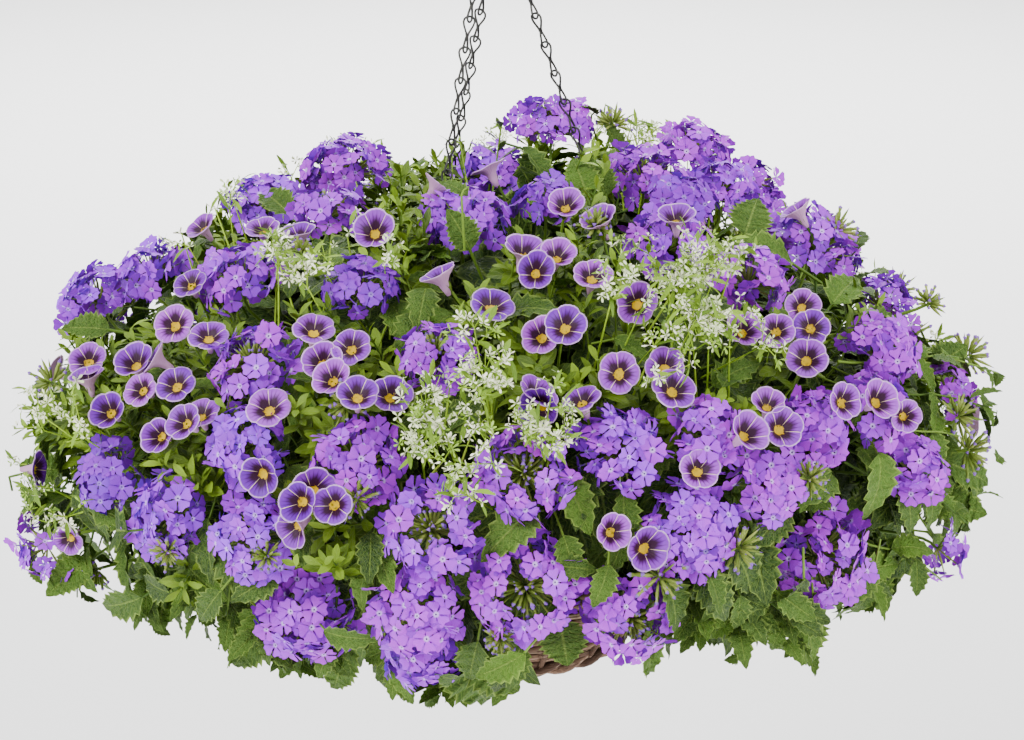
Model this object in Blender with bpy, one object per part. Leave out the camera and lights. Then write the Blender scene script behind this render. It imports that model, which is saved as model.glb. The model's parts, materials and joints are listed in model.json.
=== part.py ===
"""Verbena hanging basket: the solids.

A woven basket hangs from a steel hook on three chains. It holds a liner, soil and a mound of
verbena, calibrachoa and euphorbia. Lengths are in metres, +Z is up, and the origin is the place
inside the crook of the hook that bears on a bracket.

Each plant is grown as one closed body. Its core is a wedge of the mound, and each face of the core
opens into a leaf, a flower or a flower stalk. A shoot is kept only where it is clear of all that
stands already.
"""
import math
import random

import bmesh
import bpy
from mathutils import Vector
from mathutils.bvhtree import BVHTree

SEED = 8
GAP = 0.0003
UP = Vector((0.0, 0.0, 1.0))

# Hook
HOOK_WIRE = 0.00175
CROOK_RADIUS = 0.01575
CROOK_CENTRE_Z = -0.014
SHANK_TOP_Z = -0.042
EYE_HALF_WIDTH = 0.0150
EYE_HALF_HEIGHT = 0.0085
EYE_CENTRE_Z = -0.0625
HOOK_SIDES = 5

# Chains
CHAIN_AZIMUTHS = {"right": 0.0, "back": 120.0, "left": 240.0}
CHAIN_EYE_ANGLES = {"right": -66.0, "back": -90.0, "left": -127.0}
CHAIN_WIRE = 0.0009
CHAIN_HUB = 0.0016
LINK_HALF_WIDTH = 0.0034
LINKS = 20
BAIL_REACH = {"right": 0.00350, "back": 0.00325, "left": 0.00350}
CHAIN_END_ABOVE_RIM = 0.0105

# Basket, liner and soil
RIM_RADIUS = 0.150
RIM_Z = -0.511
RIM_ROLL = 0.006
BASE_RADIUS = 0.098
BASE_Z = -0.620
WALL = 0.0065
WEAVE_DEPTH = 0.0024
WEAVE_ROWS = 6
WEAVE_COLUMNS = 20
LINER = 0.004
LINER_TOP_Z = -0.504
SOIL_TOP_Z = -0.514
SOIL_CROWN_Z = -0.510
STEM_RADIUS = 0.0024
HOLE_RADIUS = 0.0040
HOLE_SIDES = 4
HOLE_BOTTOM_Z = -0.550

# Mound of plants: it leans a little to one side of the basket's middle line
MOUND_CENTRE = Vector((0.0084, 0.0, -0.433))
CORE_CENTRE = Vector((0.0, 0.0, -0.433))
MOUND_SEMI = Vector((0.368, 0.350, 0.200))
CORE_SCALE = 0.76
CORE_RISE = 0.78
STEM_LIFT = 0.013

# The view of the picture: the sizes that turn a place in it into a place on the mound
VIEW_DISTANCE = 2.2
VIEW_ELEVATION = math.radians(17.0)
VIEW_CENTRE = (508.0, 402.0)
VIEW_SCALE = 0.00076

# Leaves
LEAF_THICK = 0.0018
LEAF_FOOT = 0.0016
FOOT_LIFT = 0.006
BIG_LEAF = (0.070, 0.096)
SMALL_LEAF = (0.050, 0.064)
LEAF_TRIES = 24
LEAF_SHRINK = 0.024

# Flower heads: the reach of each part of a head, as a share of its radius
STALK = 0.0013
FLORET_SPREAD = 0.80
HEAD_SQUASH = 0.80
HEAD_INSET = 0.86
CORNER_REACH = 0.74
VALLEY_REACH = 0.66
EYE_REACH = 0.85
RINGED_REACH = 0.84
STALK_REACH = 0.42
FORK_REACH = 0.66
HIGH_ANGLE = 37.4
MIDDLE_ANGLE = 79.2
LOW_ANGLE = 100.8
KNOT = 0.0030
PLAIN_HEAD_RADIUS = 0.0315
RINGED_HEAD_RADIUS = 0.0335
MOST_TRIES = 8
SLOT_REACH = 0.050
SLOT_TRIES = 9
STEP_OUT = 0.003

# Wedges: name, kind, azimuths, elevations, columns, rows, distance of the foot from the middle
WEDGES = (
    ("verbena_leaves_front_low", "verbena", (243.5, 356.5), (-34, 5.5), 9, 3, 0.045),
    ("verbena_leaves_left_low", "verbena", (123.5, 236.5), (-34, 5.5), 8, 3, 0.045),
    ("verbena_leaves_back_low", "verbena", (3.5, 116.5), (-34, 5.5), 7, 2, 0.045),
    ("verbena_leaves_front_top", "verbena", (246.5, 353.5), (39, 80), 6, 2, 0.030),
    ("verbena_leaves_left_top", "verbena", (126.5, 233.5), (39, 80), 5, 2, 0.030),
    ("verbena_leaves_back_top", "verbena", (6.5, 113.5), (39, 80), 5, 2, 0.030),
    ("euphorbia_front", "euphorbia", (244, 282), (7, 37.5), 4, 2, 0.035),
    ("calibrachoa_front", "calibrachoa", (284, 356), (7, 37.5), 7, 3, 0.035),
    ("calibrachoa_left", "calibrachoa", (170, 236), (7, 37.5), 7, 3, 0.035),
    ("euphorbia_left", "euphorbia", (124, 168), (7, 37.5), 4, 2, 0.035),
    ("calibrachoa_back", "calibrachoa", (54, 116), (7, 37.5), 4, 2, 0.035),
    ("euphorbia_back", "euphorbia", (4, 52), (7, 37.5), 4, 2, 0.035),
)

# Bunches of flower heads in the front: name, then the place in the picture and the radius in
# millimetres of each head
FRONT_BUNCHES = (
    ("top_left", ((345, 172, 37),)),
    ("left_shoulder", ((98, 300, 33), (152, 275, 29))),
    ("left_high", ((240, 282, 31),)),
    ("left_middle", ((255, 368, 33),)),
    ("middle_left_high", ((362, 292, 27),)),
    ("top_middle_left", ((465, 225, 34),)),
    ("top_middle", ((533, 143, 34),)),
    ("top_middle_low", ((545, 205, 24),)),
    ("top_right", ((640, 190, 37),)),
    ("top_right_far", ((700, 158, 33), (752, 178, 20))),
    ("right_high", ((680, 252, 33), (738, 278, 31))),
    ("right_shoulder", ((812, 248, 38),)),
    ("right_far", ((882, 352, 30),)),
    ("centre_left", ((437, 358, 29),)),
    ("centre_low_left", ((372, 478, 33),)),
    ("left_low", ((250, 462, 29), (255, 520, 31))),
    ("left_edge_low", ((165, 512, 32), (118, 480, 27))),
    ("left_far", ((45, 548, 26),)),
    ("bottom_left", ((308, 612, 38),)),
    ("bottom_middle_left", ((430, 535, 33), (432, 592, 33), (422, 646, 28))),
    ("centre_low", ((530, 495, 35),)),
    ("bottom_middle", ((532, 572, 41),)),
    ("centre_right", ((610, 458, 31),)),
    ("bottom_middle_right", ((622, 592, 32),)),
    ("low_right", ((682, 522, 35),)),
    ("middle_right", ((705, 470, 27), (752, 478, 27))),
    ("right_middle", ((820, 432, 31), (868, 425, 29), (905, 460, 27))),
    ("right_low", ((818, 558, 40),)),
    ("right_edge", ((940, 550, 24),)),
    ("right_tip", ((950, 392, 22),)),
)

# Bunches round the back and on the crown: azimuth, elevation and radius in millimetres
BACK_BUNCHES = (
    ("crown_left", ((170, 58, 31), (205, 66, 27))),
    ("crown_back", ((90, 66, 33),)),
    ("crown_right", ((20, 62, 31), (342, 68, 27))),
    ("back_high_left", ((118, 36, 33), (140, 44, 29))),
    ("back_high_right", ((62, 38, 34), (40, 44, 29))),
    ("back_middle", ((92, 22, 35),)),
    ("back_left", ((135, 8, 34), (156, 16, 29))),
    ("back_right", ((48, 6, 34), (26, 14, 29))),
    ("back_low_left", ((110, -14, 33),)),
    ("back_low_right", ((66, -16, 33), (45, -14, 28))),
)

# Trumpet flowers: places in the picture
BLOOMS = (
    (200, 225), (262, 227), (299, 232), (173, 323), (208, 334), (189, 282), (314, 327), (134, 361),
    (139, 389), (175, 383), (108, 411), (200, 412), (158, 436), (87, 359), (322, 361), (351, 346),
    (392, 394), (260, 476), (314, 489), (301, 501), (334, 504), (293, 530), (72, 539), (374, 230),
    (525, 249), (558, 254), (536, 271), (593, 274), (493, 303), (541, 335), (565, 326), (675, 218),
    (637, 303), (804, 306), (811, 327), (777, 330), (744, 330), (619, 372), (665, 366), (674, 388),
    (807, 358), (768, 403), (746, 432), (782, 427), (842, 401), (877, 400), (699, 469), (539, 408),
    (613, 532), (647, 549),
)
BACK_BLOOMS = ((60, 30), (80, 32), (98, 30), (70, 14), (86, 12), (104, 14), (160, 34), (178, 30))
BLOOM_RADIUS = 0.0165
BLOOM_DEPTH = 0.017
BLOOM_NECK = 0.0020
SPRAY_STEM = 0.0010
BRACT_REACH = 0.021

# Long leaves that stand out of the mound: places in the picture of the foot and the tip, width
LONG_LEAVES = (
    ((470, 250), (452, 205), 0.026),
    ((745, 235), (757, 182), 0.034),
    ((290, 215), (262, 168), 0.026),
    ((110, 330), (62, 318), 0.024),
    ((455, 640), (492, 720), 0.040),
    ((470, 650), (520, 700), 0.036),
    ((400, 650), (405, 700), 0.030),
    ((350, 640), (330, 690), 0.028),
    ((270, 620), (228, 664), 0.034),
    ((560, 620), (568, 668), 0.036),
    ((650, 610), (654, 690), 0.018),
    ((740, 600), (748, 652), 0.036),
    ((805, 610), (812, 660), 0.036),
    ((860, 570), (892, 612), 0.034),
    ((940, 460), (996, 470), 0.032),
    ((930, 370), (966, 338), 0.028),
    ((930, 500), (990, 512), 0.030),
    ((90, 560), (42, 596), 0.028),
    ((170, 580), (152, 632), 0.032),
    ((60, 470), (18, 462), 0.026),
    ((620, 160), (612, 118), 0.022),
    ((860, 280), (884, 262), 0.026),
)

# Long leaves round the back: azimuth and elevation of the tip, and width
BACK_LONG_LEAVES = (
    (58, -6, 0.034), (72, -10, 0.036), (84, -4, 0.036), (97, -11, 0.036), (108, -5, 0.034),
)
BACK_LEAF_REACH = 1.035
LONG_LEAF_STALK = 0.35

# Colours: red, green, blue, roughness, metallic
STEEL = (0.11, 0.11, 0.10, 0.45, 0.85)
VINE = (0.19, 0.12, 0.08, 0.80, 0.0)
COCO = (0.23, 0.13, 0.06, 0.95, 0.0)
EARTH = (0.035, 0.022, 0.015, 1.0, 0.0)
VERBENA_GREEN = (0.055, 0.12, 0.03, 0.60, 0.0)
CALIBRACHOA_GREEN = (0.14, 0.24, 0.04, 0.60, 0.0)
EUPHORBIA_GREEN = (0.55, 0.62, 0.40, 0.60, 0.0)
VIOLET = (0.26, 0.11, 0.68, 0.55, 0.0)


def clear_scene():
    """Empty the file that Blender opens with."""
    for thing in list(bpy.data.objects):
        bpy.data.objects.remove(thing, do_unlink=True)


def material(name, look):
    """A plain surface from red, green, blue, roughness and metallic."""
    made = bpy.data.materials.new(name)
    made.use_nodes = True
    shader = made.node_tree.nodes["Principled BSDF"]
    shader.inputs["Base Color"].default_value = (look[0], look[1], look[2], 1.0)
    shader.inputs["Roughness"].default_value = look[3]
    shader.inputs["Metallic"].default_value = look[4]
    return made


def side_of(axis):
    """A unit vector square to the axis."""
    other = UP if abs(axis.z) < 0.9 else Vector((1.0, 0.0, 0.0))
    return axis.cross(other).normalized()


def ring_points(centre, axis, radius, sides, side=None):
    """The corners of a regular polygon that stands square to the axis."""
    along = axis.normalized()
    first = side_of(along) if side is None else (side - along * side.dot(along)).normalized()
    second = along.cross(first)
    points = []
    for number in range(sides):
        turn = math.tau * number / sides
        points.append(centre + (first * math.cos(turn) + second * math.sin(turn)) * radius)
    return points


def mound_point(azimuth, elevation, scale):
    """A point of the mound, drawn in or out by the scale. Angles are in degrees."""
    turn = math.radians(azimuth)
    rise = math.radians(elevation)
    flat = math.cos(rise)
    semi = MOUND_SEMI * scale
    return MOUND_CENTRE + Vector((
        semi.x * flat * math.cos(turn),
        semi.y * flat * math.sin(turn),
        semi.z * math.sin(rise),
    ))


def core_point(azimuth, elevation):
    """A point on the outside of a plant's core, which is lower than the mound on top."""
    off = mound_point(azimuth, elevation, CORE_SCALE) - MOUND_CENTRE
    if elevation > 0.0:
        off.z *= CORE_RISE
    return CORE_CENTRE + off


def outward(point):
    """The direction square to the mound near a point."""
    off = point - MOUND_CENTRE
    grown = Vector((
        off.x / MOUND_SEMI.x ** 2,
        off.y / MOUND_SEMI.y ** 2,
        off.z / MOUND_SEMI.z ** 2,
    ))
    return grown.normalized()


def sight(place, inset):
    """The point at which the line of sight through a place in the picture meets the mound."""
    looking = Vector((0.0, math.cos(VIEW_ELEVATION), -math.sin(VIEW_ELEVATION)))
    rising = Vector((0.0, math.sin(VIEW_ELEVATION), math.cos(VIEW_ELEVATION)))
    right = (place[0] - VIEW_CENTRE[0]) * VIEW_SCALE
    high = (VIEW_CENTRE[1] - place[1]) * VIEW_SCALE
    start = looking * -VIEW_DISTANCE
    ray = (Vector((right, 0.0, 0.0)) + rising * high - start).normalized()
    semi = MOUND_SEMI - Vector((inset, inset, inset))
    flat_start = Vector((start.x / semi.x, start.y / semi.y, start.z / semi.z))
    flat_ray = Vector((ray.x / semi.x, ray.y / semi.y, ray.z / semi.z))
    square = flat_ray.dot(flat_ray)
    half = flat_ray.dot(flat_start)
    left = half * half - square * (flat_start.dot(flat_start) - 1.0)
    far = (-half - math.sqrt(max(left, 0.0))) / square
    return MOUND_CENTRE + start + ray * far


class Body:
    """A closed body that grows from open loops of three corners."""

    def __init__(self, name, look):
        self.name = name
        self.look = look
        self.points = []
        self.faces = []

    def add(self, points):
        """Add points, and give their numbers back."""
        first = len(self.points)
        self.points.extend(points)
        return list(range(first, len(self.points)))

    def fan(self, centre, loop):
        """Close a loop with triangles round a centre."""
        for number, corner in enumerate(loop):
            self.faces.append((corner, loop[(number + 1) % len(loop)], centre))

    def zip(self, low, high, ahead=None):
        """Join two closed loops with a band of triangles.

        Ahead is the way that the band leads on past the high loop, where that isn't the way
        from the low loop to it.
        """
        order = self.best_order(low, high, ahead)
        steps_low, steps_high = len(low), len(order)
        at_low = at_high = 0
        while at_low < steps_low or at_high < steps_high:
            here_low = low[at_low % steps_low]
            here_high = order[at_high % steps_high]
            next_low = low[(at_low + 1) % steps_low]
            next_high = order[(at_high + 1) % steps_high]
            if at_high == steps_high:
                low_first = True
            elif at_low == steps_low:
                low_first = False
            elif steps_low == steps_high and at_low == at_high:
                low_first = self.span(next_low, here_high) <= self.span(here_low, next_high)
            else:
                low_first = (at_low + 1) * steps_high <= (at_high + 1) * steps_low
            if low_first:
                at_low += 1
                self.faces.append((here_low, next_low, here_high))
            else:
                at_high += 1
                self.faces.append((here_low, next_high, here_high))

    def span(self, one, other):
        """How far apart two of its points are."""
        return (self.points[one] - self.points[other]).length

    def best_order(self, low, high, ahead):
        """The high loop, turned so that it lies nearest to the low one and winds the same way."""
        count = len(high)
        low_middle, low_area = self.middle_and_area(low)
        high_middle, high_area = self.middle_and_area(high)
        step = high_middle - low_middle
        way = 1 if low_area.dot(step) * high_area.dot(ahead or step) > 0.0 else -1
        best, least = None, None
        for shift in range(count):
            order = [high[(shift + way * number) % count] for number in range(count)]
            total = 0.0
            for number, corner in enumerate(low):
                total += self.span(corner, order[(number * count) // len(low)])
            if least is None or total < least:
                best, least = order, total
        return best

    def middle_and_area(self, loop):
        """The middle of a loop, and the vector square to it that its area makes."""
        corners = [self.points[number] for number in loop]
        middle = sum(corners, Vector((0.0, 0.0, 0.0))) / len(corners)
        area = Vector((0.0, 0.0, 0.0))
        for number, corner in enumerate(corners):
            area += (corners[number - 1] - middle).cross(corner - middle)
        return middle, area

    def tube(self, loop, stations, radius):
        """Lead a loop on through three-sided sections, and give the last loop back."""
        for centre, axis in stations:
            middle = self.middle_and_area(loop)[0]
            way = axis.normalized()
            offs = [self.points[number] - middle for number in loop]
            side = max((off - way * off.dot(way) for off in offs), key=lambda off: off.length)
            section = self.add(ring_points(centre, way, radius, 3, side))
            self.zip(loop, section)
            loop = section
        return loop

    def cap(self, loop):
        """Close a loop of three."""
        self.faces.append(tuple(loop))

    def state(self):
        """The numbers of points and faces so far."""
        return len(self.points), len(self.faces)

    def undo(self, state):
        """Take back what was added since the state."""
        del self.points[state[0]:]
        del self.faces[state[1]:]

    def crosses(self, some, others):
        """Whether two sets of its faces cross, other than at corners that they share."""
        places = [tuple(point) for point in self.points]
        tree = BVHTree.FromPolygons(places, some)
        other = BVHTree.FromPolygons(places, others)
        for first, second in tree.overlap(other):
            if not set(some[first]) & set(others[second]):
                return True
        return False

    def build(self):
        """Make the object, with its faces turned outwards."""
        mesh = bpy.data.meshes.new(self.name)
        mesh.from_pydata([tuple(point) for point in self.points], [], self.faces)
        form = bmesh.new()
        form.from_mesh(mesh)
        loose = [corner for corner in form.verts if not corner.link_faces]
        bmesh.ops.delete(form, geom=loose, context="VERTS")
        bmesh.ops.recalc_face_normals(form, faces=form.faces)
        if form.calc_volume(signed=True) < 0.0:
            bmesh.ops.reverse_faces(form, faces=form.faces)
        form.to_mesh(mesh)
        form.free()
        thing = bpy.data.objects.new(self.name, mesh)
        bpy.context.scene.collection.objects.link(thing)
        mesh.materials.append(material(self.name + "_look", self.look))
        return thing


class Space:
    """What stands already, for the test of whether a new shoot is clear."""

    def __init__(self):
        self.trees = []

    def put(self, points, faces, owner=None):
        """Add faces to what stands."""
        low, high = self.box(points, faces)
        tree = BVHTree.FromPolygons([tuple(point) for point in points], faces)
        self.trees.append((tree, low, high, owner))

    @staticmethod
    def box(points, faces):
        """The box round some faces."""
        used = {number for face in faces for number in face}
        places = [points[number] for number in used]
        low = [min(place[axis] for place in places) for axis in range(3)]
        high = [max(place[axis] for place in places) for axis in range(3)]
        return low, high

    def clear(self, points, faces, skip=None):
        """Whether the faces meet nothing that stands, except what the skipped owner put there."""
        low, high = self.box(points, faces)
        tree = BVHTree.FromPolygons([tuple(point) for point in points], faces)
        for other, other_low, other_high, owner in self.trees:
            if skip is not None and owner == skip:
                continue
            apart = any(
                low[axis] > other_high[axis] or high[axis] < other_low[axis] for axis in range(3)
            )
            if not apart and tree.overlap(other):
                return False
        return True


class Plant:
    """The leafy body of one plant: a wedge of the mound whose outer faces bear shoots."""

    def __init__(self, wedge, space, dice):
        name, self.kind, azimuths, elevations, columns, rows, reach = wedge
        looks = {
            "verbena": VERBENA_GREEN,
            "calibrachoa": CALIBRACHOA_GREEN,
            "euphorbia": EUPHORBIA_GREEN,
        }
        self.body = Body(name, looks[self.kind])
        self.space = space
        self.dice = dice
        self.sites = []
        self.low = elevations[0] < 0
        self.make_core(azimuths, elevations, columns, rows, reach)

    def make_core(self, azimuths, elevations, columns, rows, reach):
        """The wedge, and the stem that stands in the soil."""
        body = self.body
        grid = []
        for row in range(rows + 1):
            line = []
            for column in range(columns + 1):
                inner = 0 < row < rows and 0 < column < columns
                shake = self.dice.uniform(-0.25, 0.25) if inner else 0.0
                azimuth = azimuths[0] + (azimuths[1] - azimuths[0]) * (column + shake) / columns
                elevation = elevations[0] + (elevations[1] - elevations[0]) * (row + shake) / rows
                line.extend(body.add([core_point(azimuth, elevation)]))
            grid.append(line)
        for row in range(rows):
            for column in range(columns):
                here, right = grid[row][column], grid[row][column + 1]
                above, across = grid[row + 1][column], grid[row + 1][column + 1]
                if (row + column) % 2:
                    self.sites += [(here, right, across), (here, across, above)]
                else:
                    self.sites += [(here, right, above), (right, across, above)]
        edge = grid[0][:]
        edge += [grid[row][-1] for row in range(1, rows + 1)]
        edge += [grid[rows][column] for column in range(columns - 1, -1, -1)]
        edge += [grid[row][0] for row in range(rows - 1, 0, -1)]
        middle_azimuth = sum(azimuths) / 2.0
        rise = math.radians(sum(elevations) / 2.0)
        turn = math.radians(middle_azimuth)
        foot = CORE_CENTRE + UP * STEM_LIFT + reach * Vector((
            math.cos(rise) * math.cos(turn),
            math.cos(rise) * math.sin(turn),
            math.sin(rise),
        ))
        side = Vector((math.cos(turn), math.sin(turn), 0.0))
        loop = body.add(ring_points(foot, UP, STEM_RADIUS, 3, side))
        body.zip(edge, loop, -UP)
        stem_end = Vector((foot.x, foot.y, HOLE_BOTTOM_Z + GAP))
        end = body.add(ring_points(stem_end, UP, STEM_RADIUS, 3, side))
        body.zip(loop, end)
        body.cap(end)
        self.stem = (foot.x, foot.y)
        self.space.put(body.points, body.faces + self.sites, body.name)

    def site_centre(self, site):
        """The middle of a site, and its outward direction."""
        corners = [self.body.points[number] for number in site]
        centre = (corners[0] + corners[1] + corners[2]) / 3.0
        return centre, outward(centre)

    def try_shoot(self, site, grow):
        """Grow a shoot from a site if it is clear of all else. Says whether it was kept."""
        body = self.body
        before = body.state()
        grow(site)
        new = body.faces[before[1]:]
        rest = body.faces[:before[1]] + [other for other in self.sites if other != site]
        if not self.space.clear(body.points, new, body.name) or body.crosses(new, rest + new):
            body.undo(before)
            return False
        self.space.put(body.points, new, body.name)
        self.sites.remove(site)
        return True

    def foot(self, site, axis, side, size, lift):
        """The small loop that a site narrows to."""
        centre, normal = self.site_centre(site)
        place = centre + normal * lift
        loop = self.body.add(ring_points(place, axis, size, 3, side))
        self.body.zip(list(site), loop)
        return loop, place

    def leaf(self, site, along, length, width, teeth):
        """A leaf that stands on a site."""
        centre, normal = self.site_centre(site)
        face = (normal - along * normal.dot(along)).normalized()
        loop, place = self.foot(site, along, face, LEAF_FOOT, FOOT_LIFT)
        blade(self.body, loop, place, along, face, length, width, teeth, self.dice)

    def long_leaf(self, site, tip, width):
        """A leaf on a stalk, with its tip at a point."""
        centre, normal = self.site_centre(site)
        start = centre + normal * FOOT_LIFT
        along = (tip - start).normalized()
        face = outward(tip)
        face = (face - along * face.dot(along)).normalized()
        loop, place = self.foot(site, along, face, LEAF_FOOT, FOOT_LIFT)
        joint = start.lerp(tip, LONG_LEAF_STALK)
        section = self.body.add(ring_points(joint, along, LEAF_FOOT, 3, face))
        self.body.zip(loop, section)
        blade(self.body, section, joint, along, face, (tip - joint).length, width, 3, self.dice)

    def stalk(self, site, end, axis):
        """A flower stalk that ends just below the foot of a head."""
        centre, normal = self.site_centre(site)
        loop, place = self.foot(site, (end - centre).normalized(), None, STALK, FOOT_LIFT)
        last = self.body.tube(loop, [(end, axis)], STALK)
        self.body.cap(last)

    def bloom(self, site, mouth, axis):
        """A trumpet flower on a stalk."""
        centre, normal = self.site_centre(site)
        neck = mouth - axis * BLOOM_DEPTH
        loop, place = self.foot(site, (neck - centre).normalized(), None, STALK, FOOT_LIFT)
        last = self.body.tube(loop, [(neck, axis)], BLOOM_NECK)
        trumpet(self.body, last, mouth, axis, BLOOM_RADIUS)

    def spray(self, site, end, axis, size):
        """A thin stem that ends in three white bracts."""
        centre, normal = self.site_centre(site)
        loop, place = self.foot(site, (end - centre).normalized(), None, STALK, FOOT_LIFT)
        last = self.body.tube(loop, [(end, axis)], SPRAY_STEM)
        bracts(self.body, last, end, axis, size)

    def finish(self):
        """Close the sites that stayed bare, and make the object."""
        self.body.faces.extend(self.sites)
        return self.body.build()


def blade(body, loop, place, along, face, length, width, teeth, dice):
    """A toothed leaf blade: an outline with a raised rib and the same rib below."""
    side = face.cross(along).normalized()
    if teeth >= 3:
        shape = ((0.16, 0.34), (0.36, 0.50), (0.47, 0.36), (0.68, 0.36))
    elif teeth == 2:
        shape = ((0.34, 0.50), (0.50, 0.32), (0.66, 0.34))
    elif teeth == 1:
        shape = ((0.36, 0.50), (0.56, 0.27))
    else:
        shape = ((0.45, 0.50),)
    half = 0.5 * LEAF_THICK
    left, right = [], []
    for number, (reach, spread) in enumerate(shape):
        wave = face * (0.02 * length * (1.0 if number % 2 else -0.6))
        spot = place + along * (reach * length) + wave
        left.append(spot - side * (spread * width))
        right.append(spot + side * (spread * width * dice.uniform(0.9, 1.0)))
    tip = place + along * length - face * (0.05 * length)
    rib = place + along * (0.48 * length) + face * (0.06 * length)
    left_numbers = body.add(left)
    right_numbers = body.add(right)
    tip_number, top, under = body.add([tip, rib + face * half, rib - face * half])
    corners = [body.points[number] for number in loop]
    spans = [(corner - place).dot(side) for corner in corners]
    left_foot = loop[spans.index(min(spans))]
    right_foot = loop[spans.index(max(spans))]
    ridge = [number for number in loop if number not in (left_foot, right_foot)][0]
    outline = [left_foot] + left_numbers + [tip_number] + right_numbers[::-1] + [right_foot]
    ridge_is_high = (body.points[ridge] - place).dot(face) > 0.0
    closing_top = [ridge] if ridge_is_high else []
    closing_under = [] if ridge_is_high else [ridge]
    body.fan(top, outline + closing_top)
    body.fan(under, outline + closing_under)


def trumpet(body, loop, mouth, axis, radius):
    """A funnel with five shallow lobes and a deep throat."""
    side = side_of(axis)
    rim = ring_points(mouth, axis, radius, 10, side)
    shaped = []
    for number, point in enumerate(rim):
        drawn = 0.87 if number % 2 else 1.0
        sunk = axis * (0.0015 if number % 2 else 0.0)
        shaped.append(mouth + (point - mouth) * drawn - sunk)
    rim_numbers = body.add(shaped)
    throat = body.add([mouth - axis * (0.55 * BLOOM_DEPTH)])[0]
    body.zip(rim_numbers, loop)
    body.fan(throat, rim_numbers)


def bracts(body, loop, end, axis, size):
    """A whorl of three flat bracts."""
    points = ring_points(end + axis * 0.003, axis, size, 6)
    shaped = []
    for number, point in enumerate(points):
        drawn = 1.0 if number % 2 else 0.24
        rise = axis * (0.2 * size if number % 2 else 0.0)
        shaped.append(end + axis * 0.003 + (point - end - axis * 0.003) * drawn + rise)
    numbers = body.add(shaped)
    crown = body.add([end + axis * 0.005])[0]
    body.zip(numbers, loop)
    body.fan(crown, numbers)


def ball_frame(axis, turn):
    """A pole direction with two sides, for the florets of a head."""
    pole = axis.normalized()
    first = side_of(pole)
    second = pole.cross(first)
    swung = first * math.cos(turn) + second * math.sin(turn)
    return pole, swung, pole.cross(swung)


def ball_direction(frame, polar, azimuth):
    """A unit vector at an angle from the pole, in degrees."""
    pole, first, second = frame
    tilt = math.radians(polar)
    swing = math.radians(azimuth)
    flat = first * math.cos(swing) + second * math.sin(swing)
    return pole * math.cos(tilt) + flat * math.sin(tilt)


def head(body, loop, centre, axis, radius, turn, ringed):
    """A domed head of six florets, each with five petals, on a loop below it."""
    plain = radius < PLAIN_HEAD_RADIUS or centre.y > 0.12
    frame = ball_frame(axis, turn)
    high = [ball_direction(frame, HIGH_ANGLE, 72 * number) for number in range(5)]
    middle = [ball_direction(frame, MIDDLE_ANGLE, 72 * number) for number in range(5)]
    low = [ball_direction(frame, LOW_ANGLE, 72 * number + 36) for number in range(5)]
    ways = high + middle + low
    pole = frame[0]

    def place(way, share):
        spot = way * (radius * share)
        along = spot.dot(pole)
        return centre + spot - pole * (along * (1.0 - HEAD_SQUASH))

    corners = body.add([place(way, CORNER_REACH) for way in ways])
    florets = [tuple(range(5))]
    for number in range(5):
        after = (number + 1) % 5
        florets.append((number, after, 5 + after, 10 + number, 5 + number))
    valleys = {}
    for floret in florets:
        for number in range(5):
            pair = tuple(sorted((floret[number], floret[(number + 1) % 5])))
            if pair not in valleys and not plain:
                way = (ways[pair[0]] + ways[pair[1]]).normalized()
                valleys[pair] = body.add([place(way, VALLEY_REACH)])[0]
    for rank, floret in enumerate(florets):
        facing = Vector((0.0, 0.0, 0.0))
        for number in floret:
            facing += ways[number]
        facing.normalize()
        reach = RINGED_REACH if ringed and rank == 0 else 1.0
        eye = body.add([place(facing, EYE_REACH * reach)])[0]
        for number in range(5):
            corner = floret[number]
            if plain:
                mate = floret[(number + 1) % 5]
                way = facing.lerp((ways[corner] + ways[mate]) / 2.0, FLORET_SPREAD).normalized()
                tip = body.add([place(way, reach)])[0]
                body.faces += [
                    (eye, corners[corner], tip),
                    (eye, tip, corners[mate]),
                    (corners[corner], corners[mate], tip),
                ]
                continue
            before = tuple(sorted((floret[number - 1], corner)))
            after = tuple(sorted((corner, floret[(number + 1) % 5])))
            way = facing.lerp(ways[corner], FLORET_SPREAD).normalized()
            tip = body.add([place(way, reach)])[0]
            body.faces += [
                (eye, valleys[before], tip),
                (eye, tip, valleys[after]),
                (valleys[before], corners[corner], tip),
                (corners[corner], valleys[after], tip),
            ]
    edge = []
    for number in range(5):
        after = (number + 1) % 5
        edge.append(corners[5 + number])
        if not plain:
            edge.append(valleys[tuple(sorted((5 + number, 10 + number)))])
        edge.append(corners[10 + number])
        if not plain:
            edge.append(valleys[tuple(sorted((10 + number, 5 + after)))])
    body.zip(edge, loop)


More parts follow.
